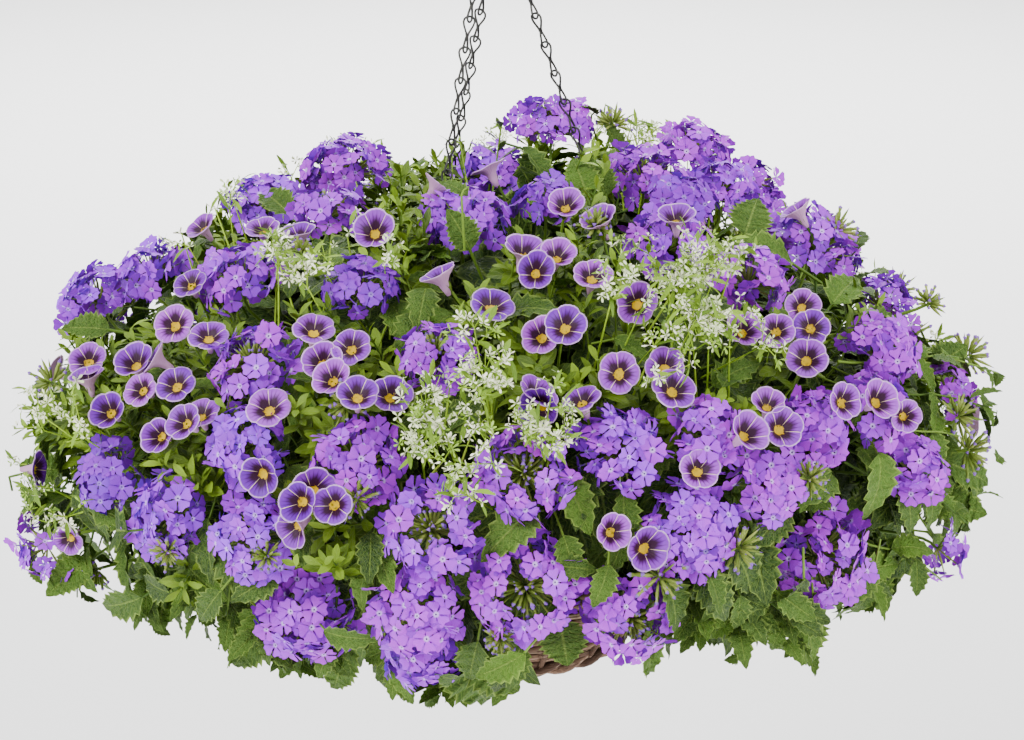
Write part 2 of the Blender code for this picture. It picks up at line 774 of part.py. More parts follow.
class Bunch:
    """One flower head, or up to three that share a forked stalk."""

    def __init__(self, name, heads):
        self.name = "verbena_heads_" + name if len(heads) > 1 else "verbena_head_" + name
        self.heads = heads

    def build_body(self):
        """The heads on their stalk, which ends in a flat foot."""
        body = Body(self.name, VIOLET)
        middle = Vector((0.0, 0.0, 0.0))
        for spot in self.heads:
            middle += spot["centre"]
        middle /= len(self.heads)
        self.axis = outward(middle)
        if len(self.heads) == 1:
            spot = self.heads[0]
            self.axis = spot["axis"]
            below = spot["centre"] - self.axis * (STALK_REACH * spot["radius"])
            self.end = below - self.axis * FOOT_LIFT
            foot = body.add(ring_points(self.end, self.axis, STALK, 3))
            body.cap(foot)
            loop = body.tube(foot, [(below, self.axis)], STALK)
            self.put_head(body, loop, spot)
            return body
        widest = max(spot["radius"] for spot in self.heads)
        fork = middle - self.axis * (FORK_REACH * widest + KNOT)
        self.end = fork - self.axis * (KNOT + FOOT_LIFT)
        foot = body.add(ring_points(self.end, self.axis, STALK, 3))
        body.cap(foot)
        self.forked(body, foot, fork)
        return body

    def forked(self, body, foot, fork):
        """The fork: an eight-sided knot whose faces open to the foot and to each head."""
        spread = self.heads[-1]["centre"] - self.heads[0]["centre"]
        spread = (spread - self.axis * spread.dot(self.axis)).normalized()
        across = self.axis.cross(spread)
        first = (spread + across).normalized()
        second = (spread - across).normalized()
        knot = body.add([
            fork + self.axis * KNOT,
            fork - self.axis * KNOT,
            fork + first * KNOT,
            fork - first * KNOT,
            fork + second * KNOT,
            fork - second * KNOT,
        ])
        top, base, fore, aft, left, right = knot
        faces = [
            (top, fore, left), (top, left, aft), (top, aft, right), (top, right, fore),
            (base, fore, left), (base, left, aft), (base, aft, right), (base, right, fore),
        ]
        open_faces = [self.nearest_face(body, faces, self.end)]
        for spot in self.heads:
            rest = [face for face in faces[:4] if face not in open_faces]
            open_faces.append(self.nearest_face(body, rest, spot["centre"]))
        for face in faces:
            if face not in open_faces:
                body.faces.append(face)
        body.zip(list(open_faces[0]), foot)
        for spot, face in zip(self.heads, open_faces[1:]):
            below = spot["centre"] - spot["axis"] * (STALK_REACH * spot["radius"])
            loop = body.tube(list(face), [(below, spot["axis"])], STALK)
            self.put_head(body, loop, spot)

    @staticmethod
    def nearest_face(body, faces, place):
        """The face whose middle lies nearest to a place."""
        def far(face):
            total = Vector((0.0, 0.0, 0.0))
            for number in face:
                total += body.points[number]
            return (total / 3.0 - place).length
        return min(faces, key=far)

    @staticmethod
    def put_head(body, loop, spot):
        """One head of the bunch."""
        head(body, loop, spot["centre"], spot["axis"], spot["radius"], spot["turn"], spot["ringed"])


def eye_point(degrees):
    """A point on the middle line of the hook's eye, which is wider than high."""
    angle = math.radians(degrees)
    return Vector((
        EYE_HALF_WIDTH * math.cos(angle),
        0.0,
        EYE_CENTRE_Z + EYE_HALF_HEIGHT * math.sin(angle),
    ))


def chain_line(name):
    """The top and the foot of a chain."""
    eye = eye_point(CHAIN_EYE_ANGLES[name])
    turn = math.radians(CHAIN_AZIMUTHS[name])
    foot = Vector((
        RIM_RADIUS * math.cos(turn),
        RIM_RADIUS * math.sin(turn),
        RIM_Z + CHAIN_END_ABOVE_RIM,
    ))
    return eye, foot


def chain(name):
    """A chain of double loops: a bail in the eye of the hook, links, and a clip on the rim."""
    body = Body("chain_" + name, STEEL)
    eye, foot = chain_line(name)
    along = (foot - eye).normalized()
    degrees = CHAIN_EYE_ANGLES[name]
    wire_way = (eye_point(degrees + 1.0) - eye_point(degrees - 1.0)).normalized()
    across = wire_way.cross(along).normalized()
    start = eye + along * (BAIL_REACH[name] + 0.0040)
    side = (across + along.cross(across)).normalized()
    other = along.cross(side)
    step = (foot - start).length / LINKS
    hubs = []
    for number in range(LINKS + 1):
        centre = start + along * (step * number)
        turned = number % 2 == 0
        wide = other if turned else side
        deep = -side if turned else other
        hubs.append(body.add([
            centre - along * CHAIN_HUB,
            centre + along * CHAIN_HUB,
            centre + wide * CHAIN_HUB,
            centre - wide * CHAIN_HUB,
            centre + deep * CHAIN_HUB,
            centre - deep * CHAIN_HUB,
        ]))
    for number, hub in enumerate(hubs):
        high, low, right, left, fore, aft = hub
        body.faces += [(high, left, fore), (high, right, aft), (low, right, fore), (low, left, aft)]
        if number < LINKS:
            link(body, hub, hubs[number + 1], along)
    bail(body, hubs[0], eye, along, BAIL_REACH[name])
    clip(body, hubs[-1], name, along)
    return body


def link(body, hub, after, along):
    """Two wires that part and meet again between two hubs."""
    high, low, right, left, fore, aft = hub
    for first, second in ((right, aft), (left, fore)):
        top = [low, first, second]
        way = (body.points[first] + body.points[second]) / 2.0
        base = (body.points[high] + body.points[low]) / 2.0
        off = way - base
        off = (off - along * off.dot(along)).normalized()
        centre = (body.points[low] + body.points[after[0]]) / 2.0 + off * LINK_HALF_WIDTH
        section = body.add(ring_points(centre, along, CHAIN_WIRE, 3, -off))
        body.zip(top, section)
        body.zip(section, upper_face(body, after, off))


def upper_face(body, hub, off):
    """The open upper face of a hub on the side that a wire comes from."""
    base = (body.points[hub[0]] + body.points[hub[1]]) / 2.0
    faces = ([hub[0], hub[2], hub[4]], [hub[0], hub[3], hub[5]])
    return max(faces, key=lambda face: sum((body.points[n] - base).dot(off) for n in face))


def bail(body, hub, eye, along, reach):
    """The loop at the top of a chain that passes through the eye of the hook."""
    first = [hub[0], hub[2], hub[4]]
    last = [hub[0], hub[3], hub[5]]
    base = (body.points[hub[0]] + body.points[hub[1]]) / 2.0
    middle = (body.points[hub[2]] + body.points[hub[4]]) / 2.0
    off = middle - base
    off = (off - along * off.dot(along)).normalized()
    stations = []
    for degrees in (0, 45, 90, 135, 180):
        turn = math.radians(degrees)
        place = eye + (off * math.cos(turn) - along * math.sin(turn)) * reach
        stations.append((place, off * math.sin(turn) + along * math.cos(turn)))
    loop = body.tube(first, stations, CHAIN_WIRE)
    body.zip(loop, last)


def clip(body, hub, name, along):
    """The open hook at the foot of a chain that holds the rim from outside."""
    turn = math.radians(CHAIN_AZIMUTHS[name])
    out = Vector((math.cos(turn), math.sin(turn), 0.0))
    centre = out * RIM_RADIUS + UP * RIM_Z
    reach = RIM_ROLL + CHAIN_WIRE + 0.0012
    faces = ([hub[1], hub[2], hub[5]], [hub[1], hub[3], hub[4]])
    base = (body.points[hub[0]] + body.points[hub[1]]) / 2.0
    faces = sorted(faces, key=lambda face: sum((body.points[n] - base).dot(out) for n in face))
    body.faces.append(tuple(faces[0]))
    stations = []
    for angle in (62, 22, -18, -48):
        swing = math.radians(angle)
        place = centre + (out * math.cos(swing) + UP * math.sin(swing)) * reach
        stations.append((place, out * math.sin(swing) - UP * math.cos(swing)))
    loop = body.tube(faces[1], stations, CHAIN_WIRE)
    body.cap(loop)


def hook_path():
    """The middle line of the hook's wire, from its open end to the end of the eye."""
    path = []
    for angle in (208, 190, 165, 140, 115, 90, 65, 40, 15, -10):
        turn = math.radians(angle)
        path.append(Vector((
            CROOK_RADIUS * math.cos(turn),
            0.0,
            CROOK_CENTRE_Z + CROOK_RADIUS * math.sin(turn),
        )))
    path.append(Vector((0.0115, 0.0, -0.028)))
    path.append(Vector((0.0035, 0.0, -0.0365)))
    path.append(Vector((0.0, 0.0, SHANK_TOP_Z)))
    path.append(Vector((0.0, 0.0, -0.0505)))
    for angle in (70, 40, 12, -15, -35, -53, -72, -90, -108, -127, -145, -165, 168, 140, 112):
        path.append(eye_point(angle))
    return path


def hook():
    """The hanger hook: a crook, a shank and a closed eye, of one wire."""
    body = Body("hanger_hook", STEEL)
    path = hook_path()
    loops = []
    for number, place in enumerate(path):
        before = path[max(number - 1, 0)]
        after = path[min(number + 1, len(path) - 1)]
        way = (after - before).normalized()
        side = Vector((0.0, 1.0, 0.0))
        loops.append(body.add(ring_points(place, way, HOOK_WIRE, HOOK_SIDES, side)))
    for low, high in zip(loops, loops[1:]):
        for number in range(HOOK_SIDES):
            after = (number + 1) % HOOK_SIDES
            body.faces.append((low[number], low[after], high[after], high[number]))
    body.faces.append(tuple(loops[0]))
    body.faces.append(tuple(loops[-1]))
    return body


def wall_radius(share):
    """The radius of the basket's wall at a share of its height."""
    return BASE_RADIUS + (RIM_RADIUS - 0.004 - BASE_RADIUS) * math.sin(share * math.pi / 2.0)


def lathe_row(body, radius, height, columns, turn=0.0):
    """A ring of points round the middle."""
    points = []
    for number in range(columns):
        angle = math.tau * (number + turn) / columns
        spread = radius[number % len(radius)] if isinstance(radius, (list, tuple)) else radius
        points.append(Vector((spread * math.cos(angle), spread * math.sin(angle), height)))
    return body.add(points)


def join_rows(body, low, high):
    """A band of four-sided faces between two rings of the same count."""
    count = len(low)
    for number in range(count):
        after = (number + 1) % count
        body.faces.append((low[number], low[after], high[after]))
        body.faces.append((low[number], high[after], high[number]))


def basket():
    """The basket: a bowl of woven vine with a rolled rim and a flat underside."""
    body = Body("woven_basket", VINE)
    rows = []
    for row in range(WEAVE_ROWS + 1):
        share = row / WEAVE_ROWS
        height = BASE_Z + (RIM_Z - 0.004 - BASE_Z) * share
        swell = WEAVE_DEPTH if 0 < row < WEAVE_ROWS else 0.0
        first = wall_radius(share) + (swell if row % 2 else -swell)
        second = wall_radius(share) - (swell if row % 2 else -swell)
        rows.append(lathe_row(body, (first, second), height, WEAVE_COLUMNS))
    for angle in (-20, 45, 110):
        turn = math.radians(angle)
        radius = RIM_RADIUS + RIM_ROLL * math.cos(turn)
        height = RIM_Z + RIM_ROLL * math.sin(turn)
        rows.append(lathe_row(body, radius, height, WEAVE_COLUMNS))
    for share in (0.93, 0.5, 0.0):
        height = BASE_Z + WALL + (RIM_Z - BASE_Z - WALL) * share
        rows.append(lathe_row(body, inner_radius(share), height, WEAVE_COLUMNS))
    for low, high in zip(rows, rows[1:]):
        join_rows(body, low, high)
    body.faces.append(tuple(rows[0]))
    body.fan(body.add([Vector((0.0, 0.0, BASE_Z + WALL))])[0], rows[-1])
    return body


def inner_radius(share):
    """The radius inside the basket's wall."""
    return wall_radius(share) - WALL - WEAVE_DEPTH


def bowl_rows(body, inset, lift, top):
    """The rings of a bowl that lies inside the basket, from the floor up."""
    rows = []
    floor = BASE_Z + WALL
    for share in (0.0, 0.5, 0.93):
        height = floor + (RIM_Z - floor) * share + lift * (1.0 - share)
        rows.append(lathe_row(body, inner_radius(share) - inset, height, WEAVE_COLUMNS))
    rows.append(lathe_row(body, inner_radius(0.93) - inset + 0.0004, top, WEAVE_COLUMNS))
    return rows


def liner():
    """The fibre liner inside the basket."""
    body = Body("coco_liner", COCO)
    slack = 0.0005
    outer = bowl_rows(body, slack, GAP, LINER_TOP_Z)
    inner = bowl_rows(body, slack + LINER, GAP + LINER, LINER_TOP_Z)
    for rows in (outer, inner):
        for low, high in zip(rows, rows[1:]):
            join_rows(body, low, high)
    join_rows(body, outer[-1], inner[-1])
    body.faces.append(tuple(outer[0]))
    body.faces.append(tuple(inner[0]))
    return body


def soil(stems):
    """The potting soil, with a plain hole for each stem."""
    body = Body("potting_soil", EARTH)
    slack = 0.0010
    rows = bowl_rows(body, slack + LINER, 2.0 * GAP + LINER, SOIL_TOP_Z)
    for low, high in zip(rows, rows[1:]):
        join_rows(body, low, high)
    body.faces.append(tuple(rows[0]))
    body.fan(body.add([Vector((0.0, 0.0, SOIL_CROWN_Z))])[0], rows[-1])
    thing = body.build()
    cutters = bpy.data.collections.new("hole_cutters")
    bpy.context.scene.collection.children.link(cutters)
    for x, y in stems:
        drill = Body("drill", EARTH)
        low = drill.add(ring_points(Vector((x, y, HOLE_BOTTOM_Z)), UP, HOLE_RADIUS, HOLE_SIDES))
        high = drill.add(ring_points(Vector((x, y, SOIL_CROWN_Z + 0.01)), UP, HOLE_RADIUS, HOLE_SIDES))
        join_rows(drill, low, high)
        drill.faces.append(tuple(low))
        drill.faces.append(tuple(high))
        cutter = drill.build()
        bpy.context.scene.collection.objects.unlink(cutter)
        cutters.objects.link(cutter)
        cutter.hide_render = True
        cutter.display_type = "WIRE"
    cut = thing.modifiers.new("holes", "BOOLEAN")
    cut.operation = "DIFFERENCE"
    cut.operand_type = "COLLECTION"
    cut.collection = cutters
    cut.solver = "EXACT"
    apply_modifiers(thing)
    for cutter in list(cutters.objects):
        bpy.data.objects.remove(cutter, do_unlink=True)
    bpy.data.collections.remove(cutters)
    return thing


def apply_modifiers(thing):
    """Bake the modifiers of an object into its mesh."""
    graph = bpy.context.evaluated_depsgraph_get()
    mesh = bpy.data.meshes.new_from_object(thing.evaluated_get(graph))
    thing.modifiers.clear()
    old = thing.data
    thing.data = mesh
    bpy.data.meshes.remove(old)


def tilt_up(point, amount):
    """The outward direction at a point, leaned towards the sky."""
    return (outward(point) + UP * amount).normalized()


def flower_bunches(dice):
    """All the bunches of heads, with each head where the picture has it or on the back."""
    bunches = []
    for name, spots in FRONT_BUNCHES:
        heads = []
        for x, y, radius in spots:
            centre = sight((x, y), 0.001 * radius * HEAD_INSET)
            heads.append(head_spot(centre, 0.001 * radius, dice))
        bunches.append(Bunch(name, heads))
    for name, spots in BACK_BUNCHES:
        heads = []
        for azimuth, elevation, radius in spots:
            point = mound_point(azimuth, elevation, 1.0)
            centre = point - outward(point) * (0.001 * radius * HEAD_INSET)
            heads.append(head_spot(centre, 0.001 * radius, dice))
        bunches.append(Bunch(name, heads))
    spread_heads([spot for bunch in bunches for spot in bunch.heads])
    return bunches


def head_spot(centre, radius, dice):
    """One head: its middle, the way it faces and its size."""
    return {
        "centre": centre,
        "axis": tilt_up(centre, 0.30),
        "radius": radius,
        "turn": dice.uniform(0.0, math.tau),
        "ringed": radius > RINGED_HEAD_RADIUS,
    }


def spread_heads(heads):
    """Push heads apart where they would meet, and away from the chains."""
    lines = [chain_line(name) for name in CHAIN_AZIMUTHS]
    for _ in range(60):
        for number, one in enumerate(heads):
            for other in heads[number + 1:]:
                apart = other["centre"] - one["centre"]
                need = one["radius"] + other["radius"] + 0.001
                if apart.length < need:
                    push = apart.normalized() * (0.5 * (need - apart.length))
                    other["centre"] = other["centre"] + push
                    one["centre"] = one["centre"] - push
            for top, foot in lines:
                way = (foot - top).normalized()
                along = max(0.0, min((foot - top).length, (one["centre"] - top).dot(way)))
                off = one["centre"] - (top + way * along)
                need = one["radius"] + 0.006
                if off.length < need:
                    one["centre"] = one["centre"] + off.normalized() * (need - off.length)
    for number, one in enumerate(heads):
        for other in heads[number + 1:]:
            apart = (other["centre"] - one["centre"]).length
            need = one["radius"] + other["radius"] + 0.0004
            if apart < need:
                share = (apart - 0.0004) / (need - 0.0004)
                one["radius"] *= share
                other["radius"] *= share


def nearest_sites(plants, kind, place):
    """The free sites of one kind of plant, from the nearest to a place outwards."""
    found = []
    for plant in plants:
        if plant.kind == kind:
            for site in plant.sites:
                centre = plant.site_centre(site)[0]
                found.append(((centre - place).length, plant, site))
    found.sort(key=lambda item: item[0])
    return [(plant, site) for _, plant, site in found]


def grow_stalks(bunches, plants):
    """A stalk below each bunch, from the nearest free site of a verbena."""
    for bunch in bunches:
        end = bunch.end - bunch.axis * GAP
        for plant, site in nearest_sites(plants, "verbena", end)[:60]:
            if plant.try_shoot(site, lambda s, p=plant: p.stalk(s, end, bunch.axis)):
                break
        else:
            print("no stalk for", bunch.name)


def grow_blooms(plants, dice):
    """The trumpet flowers."""
    kept = 0
    places = [sight(place, 0.010) for place in BLOOMS]
    places += [mound_point(azimuth, elevation, 0.96) for azimuth, elevation in BACK_BLOOMS]
    for mouth in places:
        for attempt in range(4):
            wobble = Vector((dice.uniform(-1, 1), dice.uniform(-1, 1), dice.uniform(-1, 1)))
            spot = mouth + wobble * (0.004 * attempt)
            axis = (tilt_up(spot, 0.25) + wobble * 0.25).normalized()
            options = nearest_sites(plants, "calibrachoa", spot)[:8]
            if any(
                plant.try_shoot(site, lambda s, p=plant: p.bloom(s, spot, axis))
                for plant, site in options
                if (plant.site_centre(site)[0] - spot).length < 0.15
            ):
                kept += 1
                break
    print("blooms", kept)


def grow_long_leaves(plants):
    """The large leaves that stand out of the mound."""
    wanted = []
    for foot, tip, width in LONG_LEAVES:
        place = sight(foot, 0.04)
        end = sight(tip, 0.0)
        end.y = (place.y + end.y) / 2.0
        wanted.append((place, end, width))
    for azimuth, elevation, width in BACK_LONG_LEAVES:
        end = mound_point(azimuth, elevation, BACK_LEAF_REACH)
        wanted.append((mound_point(azimuth, elevation, CORE_SCALE), end, width))
    kept = 0
    for place, end, width in wanted:
        for plant, site in nearest_sites(plants, "verbena", place)[:14]:
            if plant.try_shoot(site, lambda s, p=plant: p.long_leaf(s, end, width)):
                kept += 1
                break
    print("long leaves", kept, "of", len(wanted))


def towards_slot(place):
    """The level direction from a place to the slot that a chain runs in, if that is near."""
    azimuth = math.atan2(place.y, place.x)
    reach = math.hypot(place.x, place.y)
    for degrees in CHAIN_AZIMUTHS.values():
        off = (math.radians(degrees) - azimuth + math.pi) % math.tau - math.pi
        if abs(off) < math.pi / 2.0 and reach * abs(math.sin(off)) < SLOT_REACH:
            sign = 1.0 if off > 0.0 else -1.0
            return Vector((-math.sin(azimuth), math.cos(azimuth), 0.0)) * sign
    return None


def grow_leaves(plants, dice):
    """Leaves on the free sites of the verbenas and calibrachoas."""
    kept = 0
    for plant in plants:
        big = plant.kind == "verbena"
        for site in list(plant.sites):
            centre, normal = plant.site_centre(site)
            downhill = (normal * normal.z - UP).normalized()
            start = dice.uniform(-60.0, 60.0)
            slot = towards_slot(centre)
            for attempt in range(LEAF_TRIES):
                shrink = 1.0 - LEAF_SHRINK * attempt
                turn = math.radians(start + attempt * 77.0)
                across = normal.cross(downhill)
                flat = downhill * math.cos(turn) + across * math.sin(turn)
                rise = math.radians(dice.uniform(26.0, 62.0))
                if attempt < SLOT_TRIES and slot is not None:
                    flat = (slot + downhill * dice.uniform(-0.6, 0.7)).normalized()
                    rise = math.radians(dice.uniform(12.0, 34.0))
                along = (flat * math.cos(rise) + normal * math.sin(rise)).normalized()
                length = dice.uniform(*(BIG_LEAF if big else SMALL_LEAF))
                width = length * (dice.uniform(0.54, 0.64) if big else 0.48)
                near = centre.y < -0.12 and centre.z < -0.42
                teeth = (2 if near and attempt < 3 else 1) if big else 0
                if plant.try_shoot(site, lambda s: plant.leaf(
                    s, along, length * shrink, width * shrink, teeth
                )):
                    kept += 1
                    break
    print("leaves", kept)


def grow_sprays(plants, dice):
    """Sprays of bracts on the free sites of the euphorbias."""
    kept = 0
    for plant in plants:
        if plant.kind != "euphorbia":
            continue
        for site in list(plant.sites)[::2]:
            centre, normal = plant.site_centre(site)
            for attempt in range(10):
                wobble = Vector((dice.uniform(-1, 1), dice.uniform(-1, 1), dice.uniform(-1, 1)))
                axis = (normal + wobble * 0.5).normalized()
                end = centre + axis * dice.uniform(0.050, 0.085)
                if plant.try_shoot(site, lambda s: plant.spray(s, end, axis, BRACT_REACH)):
                    kept += 1
                    break
    print("sprays", kept)


def place_bunch(bunch, space):
    """Build a bunch, drawn outwards until it is clear of the plants' cores."""
    for _ in range(MOST_TRIES):
        body = bunch.build_body()
        if space.clear(body.points, body.faces):
            break
        for spot in bunch.heads:
            spot["centre"] = spot["centre"] + spot["axis"] * STEP_OUT
    space.put(body.points, body.faces, body.name)
    return body


def main():
    """Make every body."""
    clear_scene()
    dice = random.Random(SEED)
    space = Space()
    fixed = [hook(), basket(), liner()] + [chain(name) for name in CHAIN_AZIMUTHS]
    for body in fixed:
        space.put(body.points, body.faces, body.name)
    plants = [Plant(wedge, space, dice) for wedge in WEDGES]
    bunches = flower_bunches(dice)
    bodies = [place_bunch(bunch, space) for bunch in bunches]
    grow_stalks(bunches, plants)
    grow_long_leaves(plants)
    grow_blooms(plants, dice)
    grow_sprays(plants, dice)
    grow_leaves(plants, dice)
    for body in fixed + bodies:
        body.build()
    for plant in plants:
        plant.finish()
    soil([plant.stem for plant in plants])
    total = 0
    for thing in bpy.context.scene.objects:
        thing.data.calc_loop_triangles()
        total += len(thing.data.loop_triangles)
    print("objects", len(bpy.context.scene.objects), "triangles", total)


main()
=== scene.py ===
"""Verbena hanging basket: the looks.

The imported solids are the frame. Each node is stood for by a detailed piece: wire that is bent and
linked, vine that is woven, and plants that are built up from single leaves, florets and bracts.
Lengths are in metres, +Z is up, and the origin is the place inside the crook of the hook that
bears on a bracket.
"""
import json
import logging
import random
from collections.abc import Callable
from dataclasses import dataclass, field
from enum import Enum
from math import acos, atan2, cos, degrees, hypot, pi, radians, sin, sqrt, tau

import bmesh
import bpy
from mathutils import Matrix, Quaternion, Vector

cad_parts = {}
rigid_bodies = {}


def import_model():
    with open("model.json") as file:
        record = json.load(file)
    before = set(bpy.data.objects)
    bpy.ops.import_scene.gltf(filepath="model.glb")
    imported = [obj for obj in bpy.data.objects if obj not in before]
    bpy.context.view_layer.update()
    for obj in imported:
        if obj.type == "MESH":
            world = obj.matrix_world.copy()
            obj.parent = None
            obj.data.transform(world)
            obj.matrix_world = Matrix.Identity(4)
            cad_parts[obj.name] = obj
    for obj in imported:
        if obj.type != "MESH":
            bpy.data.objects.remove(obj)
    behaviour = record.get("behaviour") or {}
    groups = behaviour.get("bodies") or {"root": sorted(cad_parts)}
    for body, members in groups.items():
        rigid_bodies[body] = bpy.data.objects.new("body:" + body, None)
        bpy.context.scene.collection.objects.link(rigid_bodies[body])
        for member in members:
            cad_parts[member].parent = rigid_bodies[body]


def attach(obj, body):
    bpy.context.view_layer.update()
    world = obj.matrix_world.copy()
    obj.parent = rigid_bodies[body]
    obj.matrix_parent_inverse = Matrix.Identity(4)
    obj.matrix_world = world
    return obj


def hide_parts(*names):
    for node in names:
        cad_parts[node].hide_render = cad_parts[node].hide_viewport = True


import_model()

log = logging.getLogger("hanging_basket")
Dice = random.Random
Finish = bpy.types.Material
Thing = bpy.types.Object
Place = tuple[float, float]
Inputs = dict[str | int, object]
ROOT = "root"
UP = Vector((0.0, 0.0, 1.0))

# The picture: the sizes that turn a place in it into a place on the mound
PICTURE_MIDDLE = (512.0, 370.0)
PICTURE_WIDTH = 1024.0
VIEW_DISTANCE = 2.2
VIEW_ELEVATION = radians(17.0)
VIEW_CENTRE = (508.0, 402.0)
VIEW_SCALE = 0.00076
LOOKING = Vector((0.0, cos(VIEW_ELEVATION), -sin(VIEW_ELEVATION)))
RISING = Vector((0.0, sin(VIEW_ELEVATION), cos(VIEW_ELEVATION)))

# The mound of plants
MOUND_CENTRE = Vector((0.0084, 0.0, -0.433))
MOUND_SEMI = Vector((0.368, 0.350, 0.200))
MOUND_DROOP = 0.036
LOWEST = -0.637
WIDEST = (0.376, 0.364)
GOLDEN_TURN = pi * (3.0 - sqrt(5.0))
CHAIN_ROOM = 0.006
FOOT_WINDOW = (516.0, 636.0, 640.0)
OUTLINE_INSET = -7.0


class PlantKind(Enum):
    """The three plants of the mound."""

    VERBENA = "verbena"
    CALIBRACHOA = "calibrachoa"
    EUPHORBIA = "euphorbia"


class HeadStage(Enum):
    """How far a verbena head has opened, or, for a shaded head, that it is darkened all over as painted
    shade.
    """

    FULL = "full"
    RING = "ring"
    SHADED = "shaded"
    FEW = "few"
    BUD = "bud"


RING, SHADED, FEW, BUD = list(HeadStage)[1:]

# Bunches of flower heads in the front, by name: the place in the picture, the radius in
# millimetres and the stage of each head that isn't full
FRONT_BUNCHES = {
    "top_left": ((345, 172, 37),),
    "left_shoulder": ((98, 300, 33), (152, 275, 29)),
    "left_high": ((240, 282, 31),),
    "left_middle": ((255, 368, 33, RING),),
    "middle_left_high": ((362, 292, 27, SHADED),),
    "top_middle_left": ((465, 225, 34),),
    "top_middle": ((533, 143, 34, RING),),
    "top_middle_low": ((545, 205, 24, SHADED),),
    "top_right": ((640, 190, 37),),
    "top_right_far": ((700, 158, 33), (752, 178, 20, FEW)),
    "right_high": ((680, 252, 33), (738, 278, 31)),
    "right_shoulder": ((812, 248, 38),),
    "right_far": ((882, 352, 30),),
    "centre_left": ((437, 358, 29, RING),),
    "centre_low_left": ((372, 478, 33),),
    "left_low": ((250, 462, 29), (255, 520, 31)),
    "left_edge_low": ((165, 512, 32), (118, 480, 27, SHADED)),
    "left_far": ((45, 548, 26, FEW),),
    "bottom_left": ((308, 612, 38),),
    "bottom_middle_left": ((430, 535, 33, RING), (432, 592, 33), (422, 646, 28)),
    "centre_low": ((530, 495, 35, RING),),
    "bottom_middle": ((532, 572, 41, RING),),
    "centre_right": ((610, 458, 31),),
    "bottom_middle_right": ((622, 592, 32, RING),),
    "low_right": ((682, 522, 35),),
    "middle_right": ((705, 470, 27), (752, 478, 27)),
    "right_middle": ((820, 432, 31), (868, 425, 29), (905, 460, 27)),
    "right_low": ((818, 558, 40),),
    "right_edge": ((940, 550, 24, FEW),),
    "right_tip": ((950, 392, 22, FEW),),
}

# Bunches round the back and on the crown: azimuth, elevation, then radius and stage as above
BACK_BUNCHES = {
    "crown_left": ((170, 58, 31), (205, 66, 27, RING)),
    "crown_back": ((90, 66, 33),),
    "crown_right": ((20, 62, 31), (342, 68, 27, SHADED)),
    "back_high_left": ((118, 36, 33), (140, 44, 29)),
    "back_high_right": ((62, 38, 34, RING), (40, 44, 29)),
    "back_middle": ((92, 22, 35),),
    "back_left": ((135, 8, 34), (156, 16, 29, SHADED)),
    "back_right": ((48, 6, 34), (26, 14, 29)),
    "back_low_left": ((110, -14, 33),),
    "back_low_right": ((66, -16, 33, RING), (45, -14, 28)),
}

# Heads still in green bud: places in the picture and radius in millimetres
BUD_HEADS = (
    (613, 120, 15), (838, 226, 16), (972, 352, 18), (962, 414, 17), (972, 450, 18), (812, 478, 13),
    (740, 548, 16), (661, 577, 18), (48, 380, 16), (95, 572, 12), (165, 552, 12), (265, 556, 11),
    (345, 402, 15), (355, 497, 15), (596, 222, 13), (930, 300, 12), (500, 640, 11), (300, 250, 11),
)

# Trumpet flowers that face out: places in the picture
BLOOMS = (
    (200, 225), (262, 227), (299, 232), (173, 323), (208, 334), (189, 282), (314, 327), (134, 361),
    (139, 389), (175, 383), (108, 411), (200, 412), (158, 436), (87, 359), (322, 361), (351, 346),
    (392, 394), (260, 476), (314, 489), (301, 501), (334, 504), (293, 530), (72, 539), (374, 230),
    (525, 249), (558, 254), (536, 271), (593, 274), (493, 303), (541, 335), (565, 326), (675, 218),
    (637, 303), (804, 306), (811, 327), (777, 330), (744, 330), (619, 372), (665, 366), (674, 388),
    (807, 358), (768, 403), (746, 432), (782, 427), (842, 401), (877, 400), (699, 469), (539, 408),
    (613, 532), (647, 549), (332, 378), (268, 406), (186, 421), (566, 204), (903, 416), (359, 393),
)

# Trumpet flowers that are seen from the side: places in the picture
SIDE_BLOOMS = (
    (487, 165), (439, 184), (439, 275), (797, 210), (539, 391), (580, 398), (153, 357), (87, 376),
    (41, 469), (599, 219),
)

# Trumpet flowers round the back: azimuth and elevation
BACK_BLOOMS = (
    (60, 30), (80, 32), (98, 30), (70, 14), (86, 12), (104, 14), (160, 34), (178, 30), (52, 22),
    (110, 24), (94, 40), (75, 42), (30, 30), (148, 26), (122, 20), (170, 12), (15, 8), (90, -4),
    (0, 22), (-12, 14), (12, 24), (-4, 36), (22, 14), (-20, 28), (8, 2), (-14, -1), (4, 12), (-6, 25),
    (190, 24), (202, 12), (182, 2), (196, 36), (164, 22), (154, 2), (186, 15), (176, 40), (208, 24),
    (100, -7), (76, -8), (120, 4), (132, 12), (58, 6), (44, 14), (128, -5), (50, -6), (38, 22),
    (64, 20), (140, 38), (116, 44), (56, 48), (142, 10), (112, -2),
)

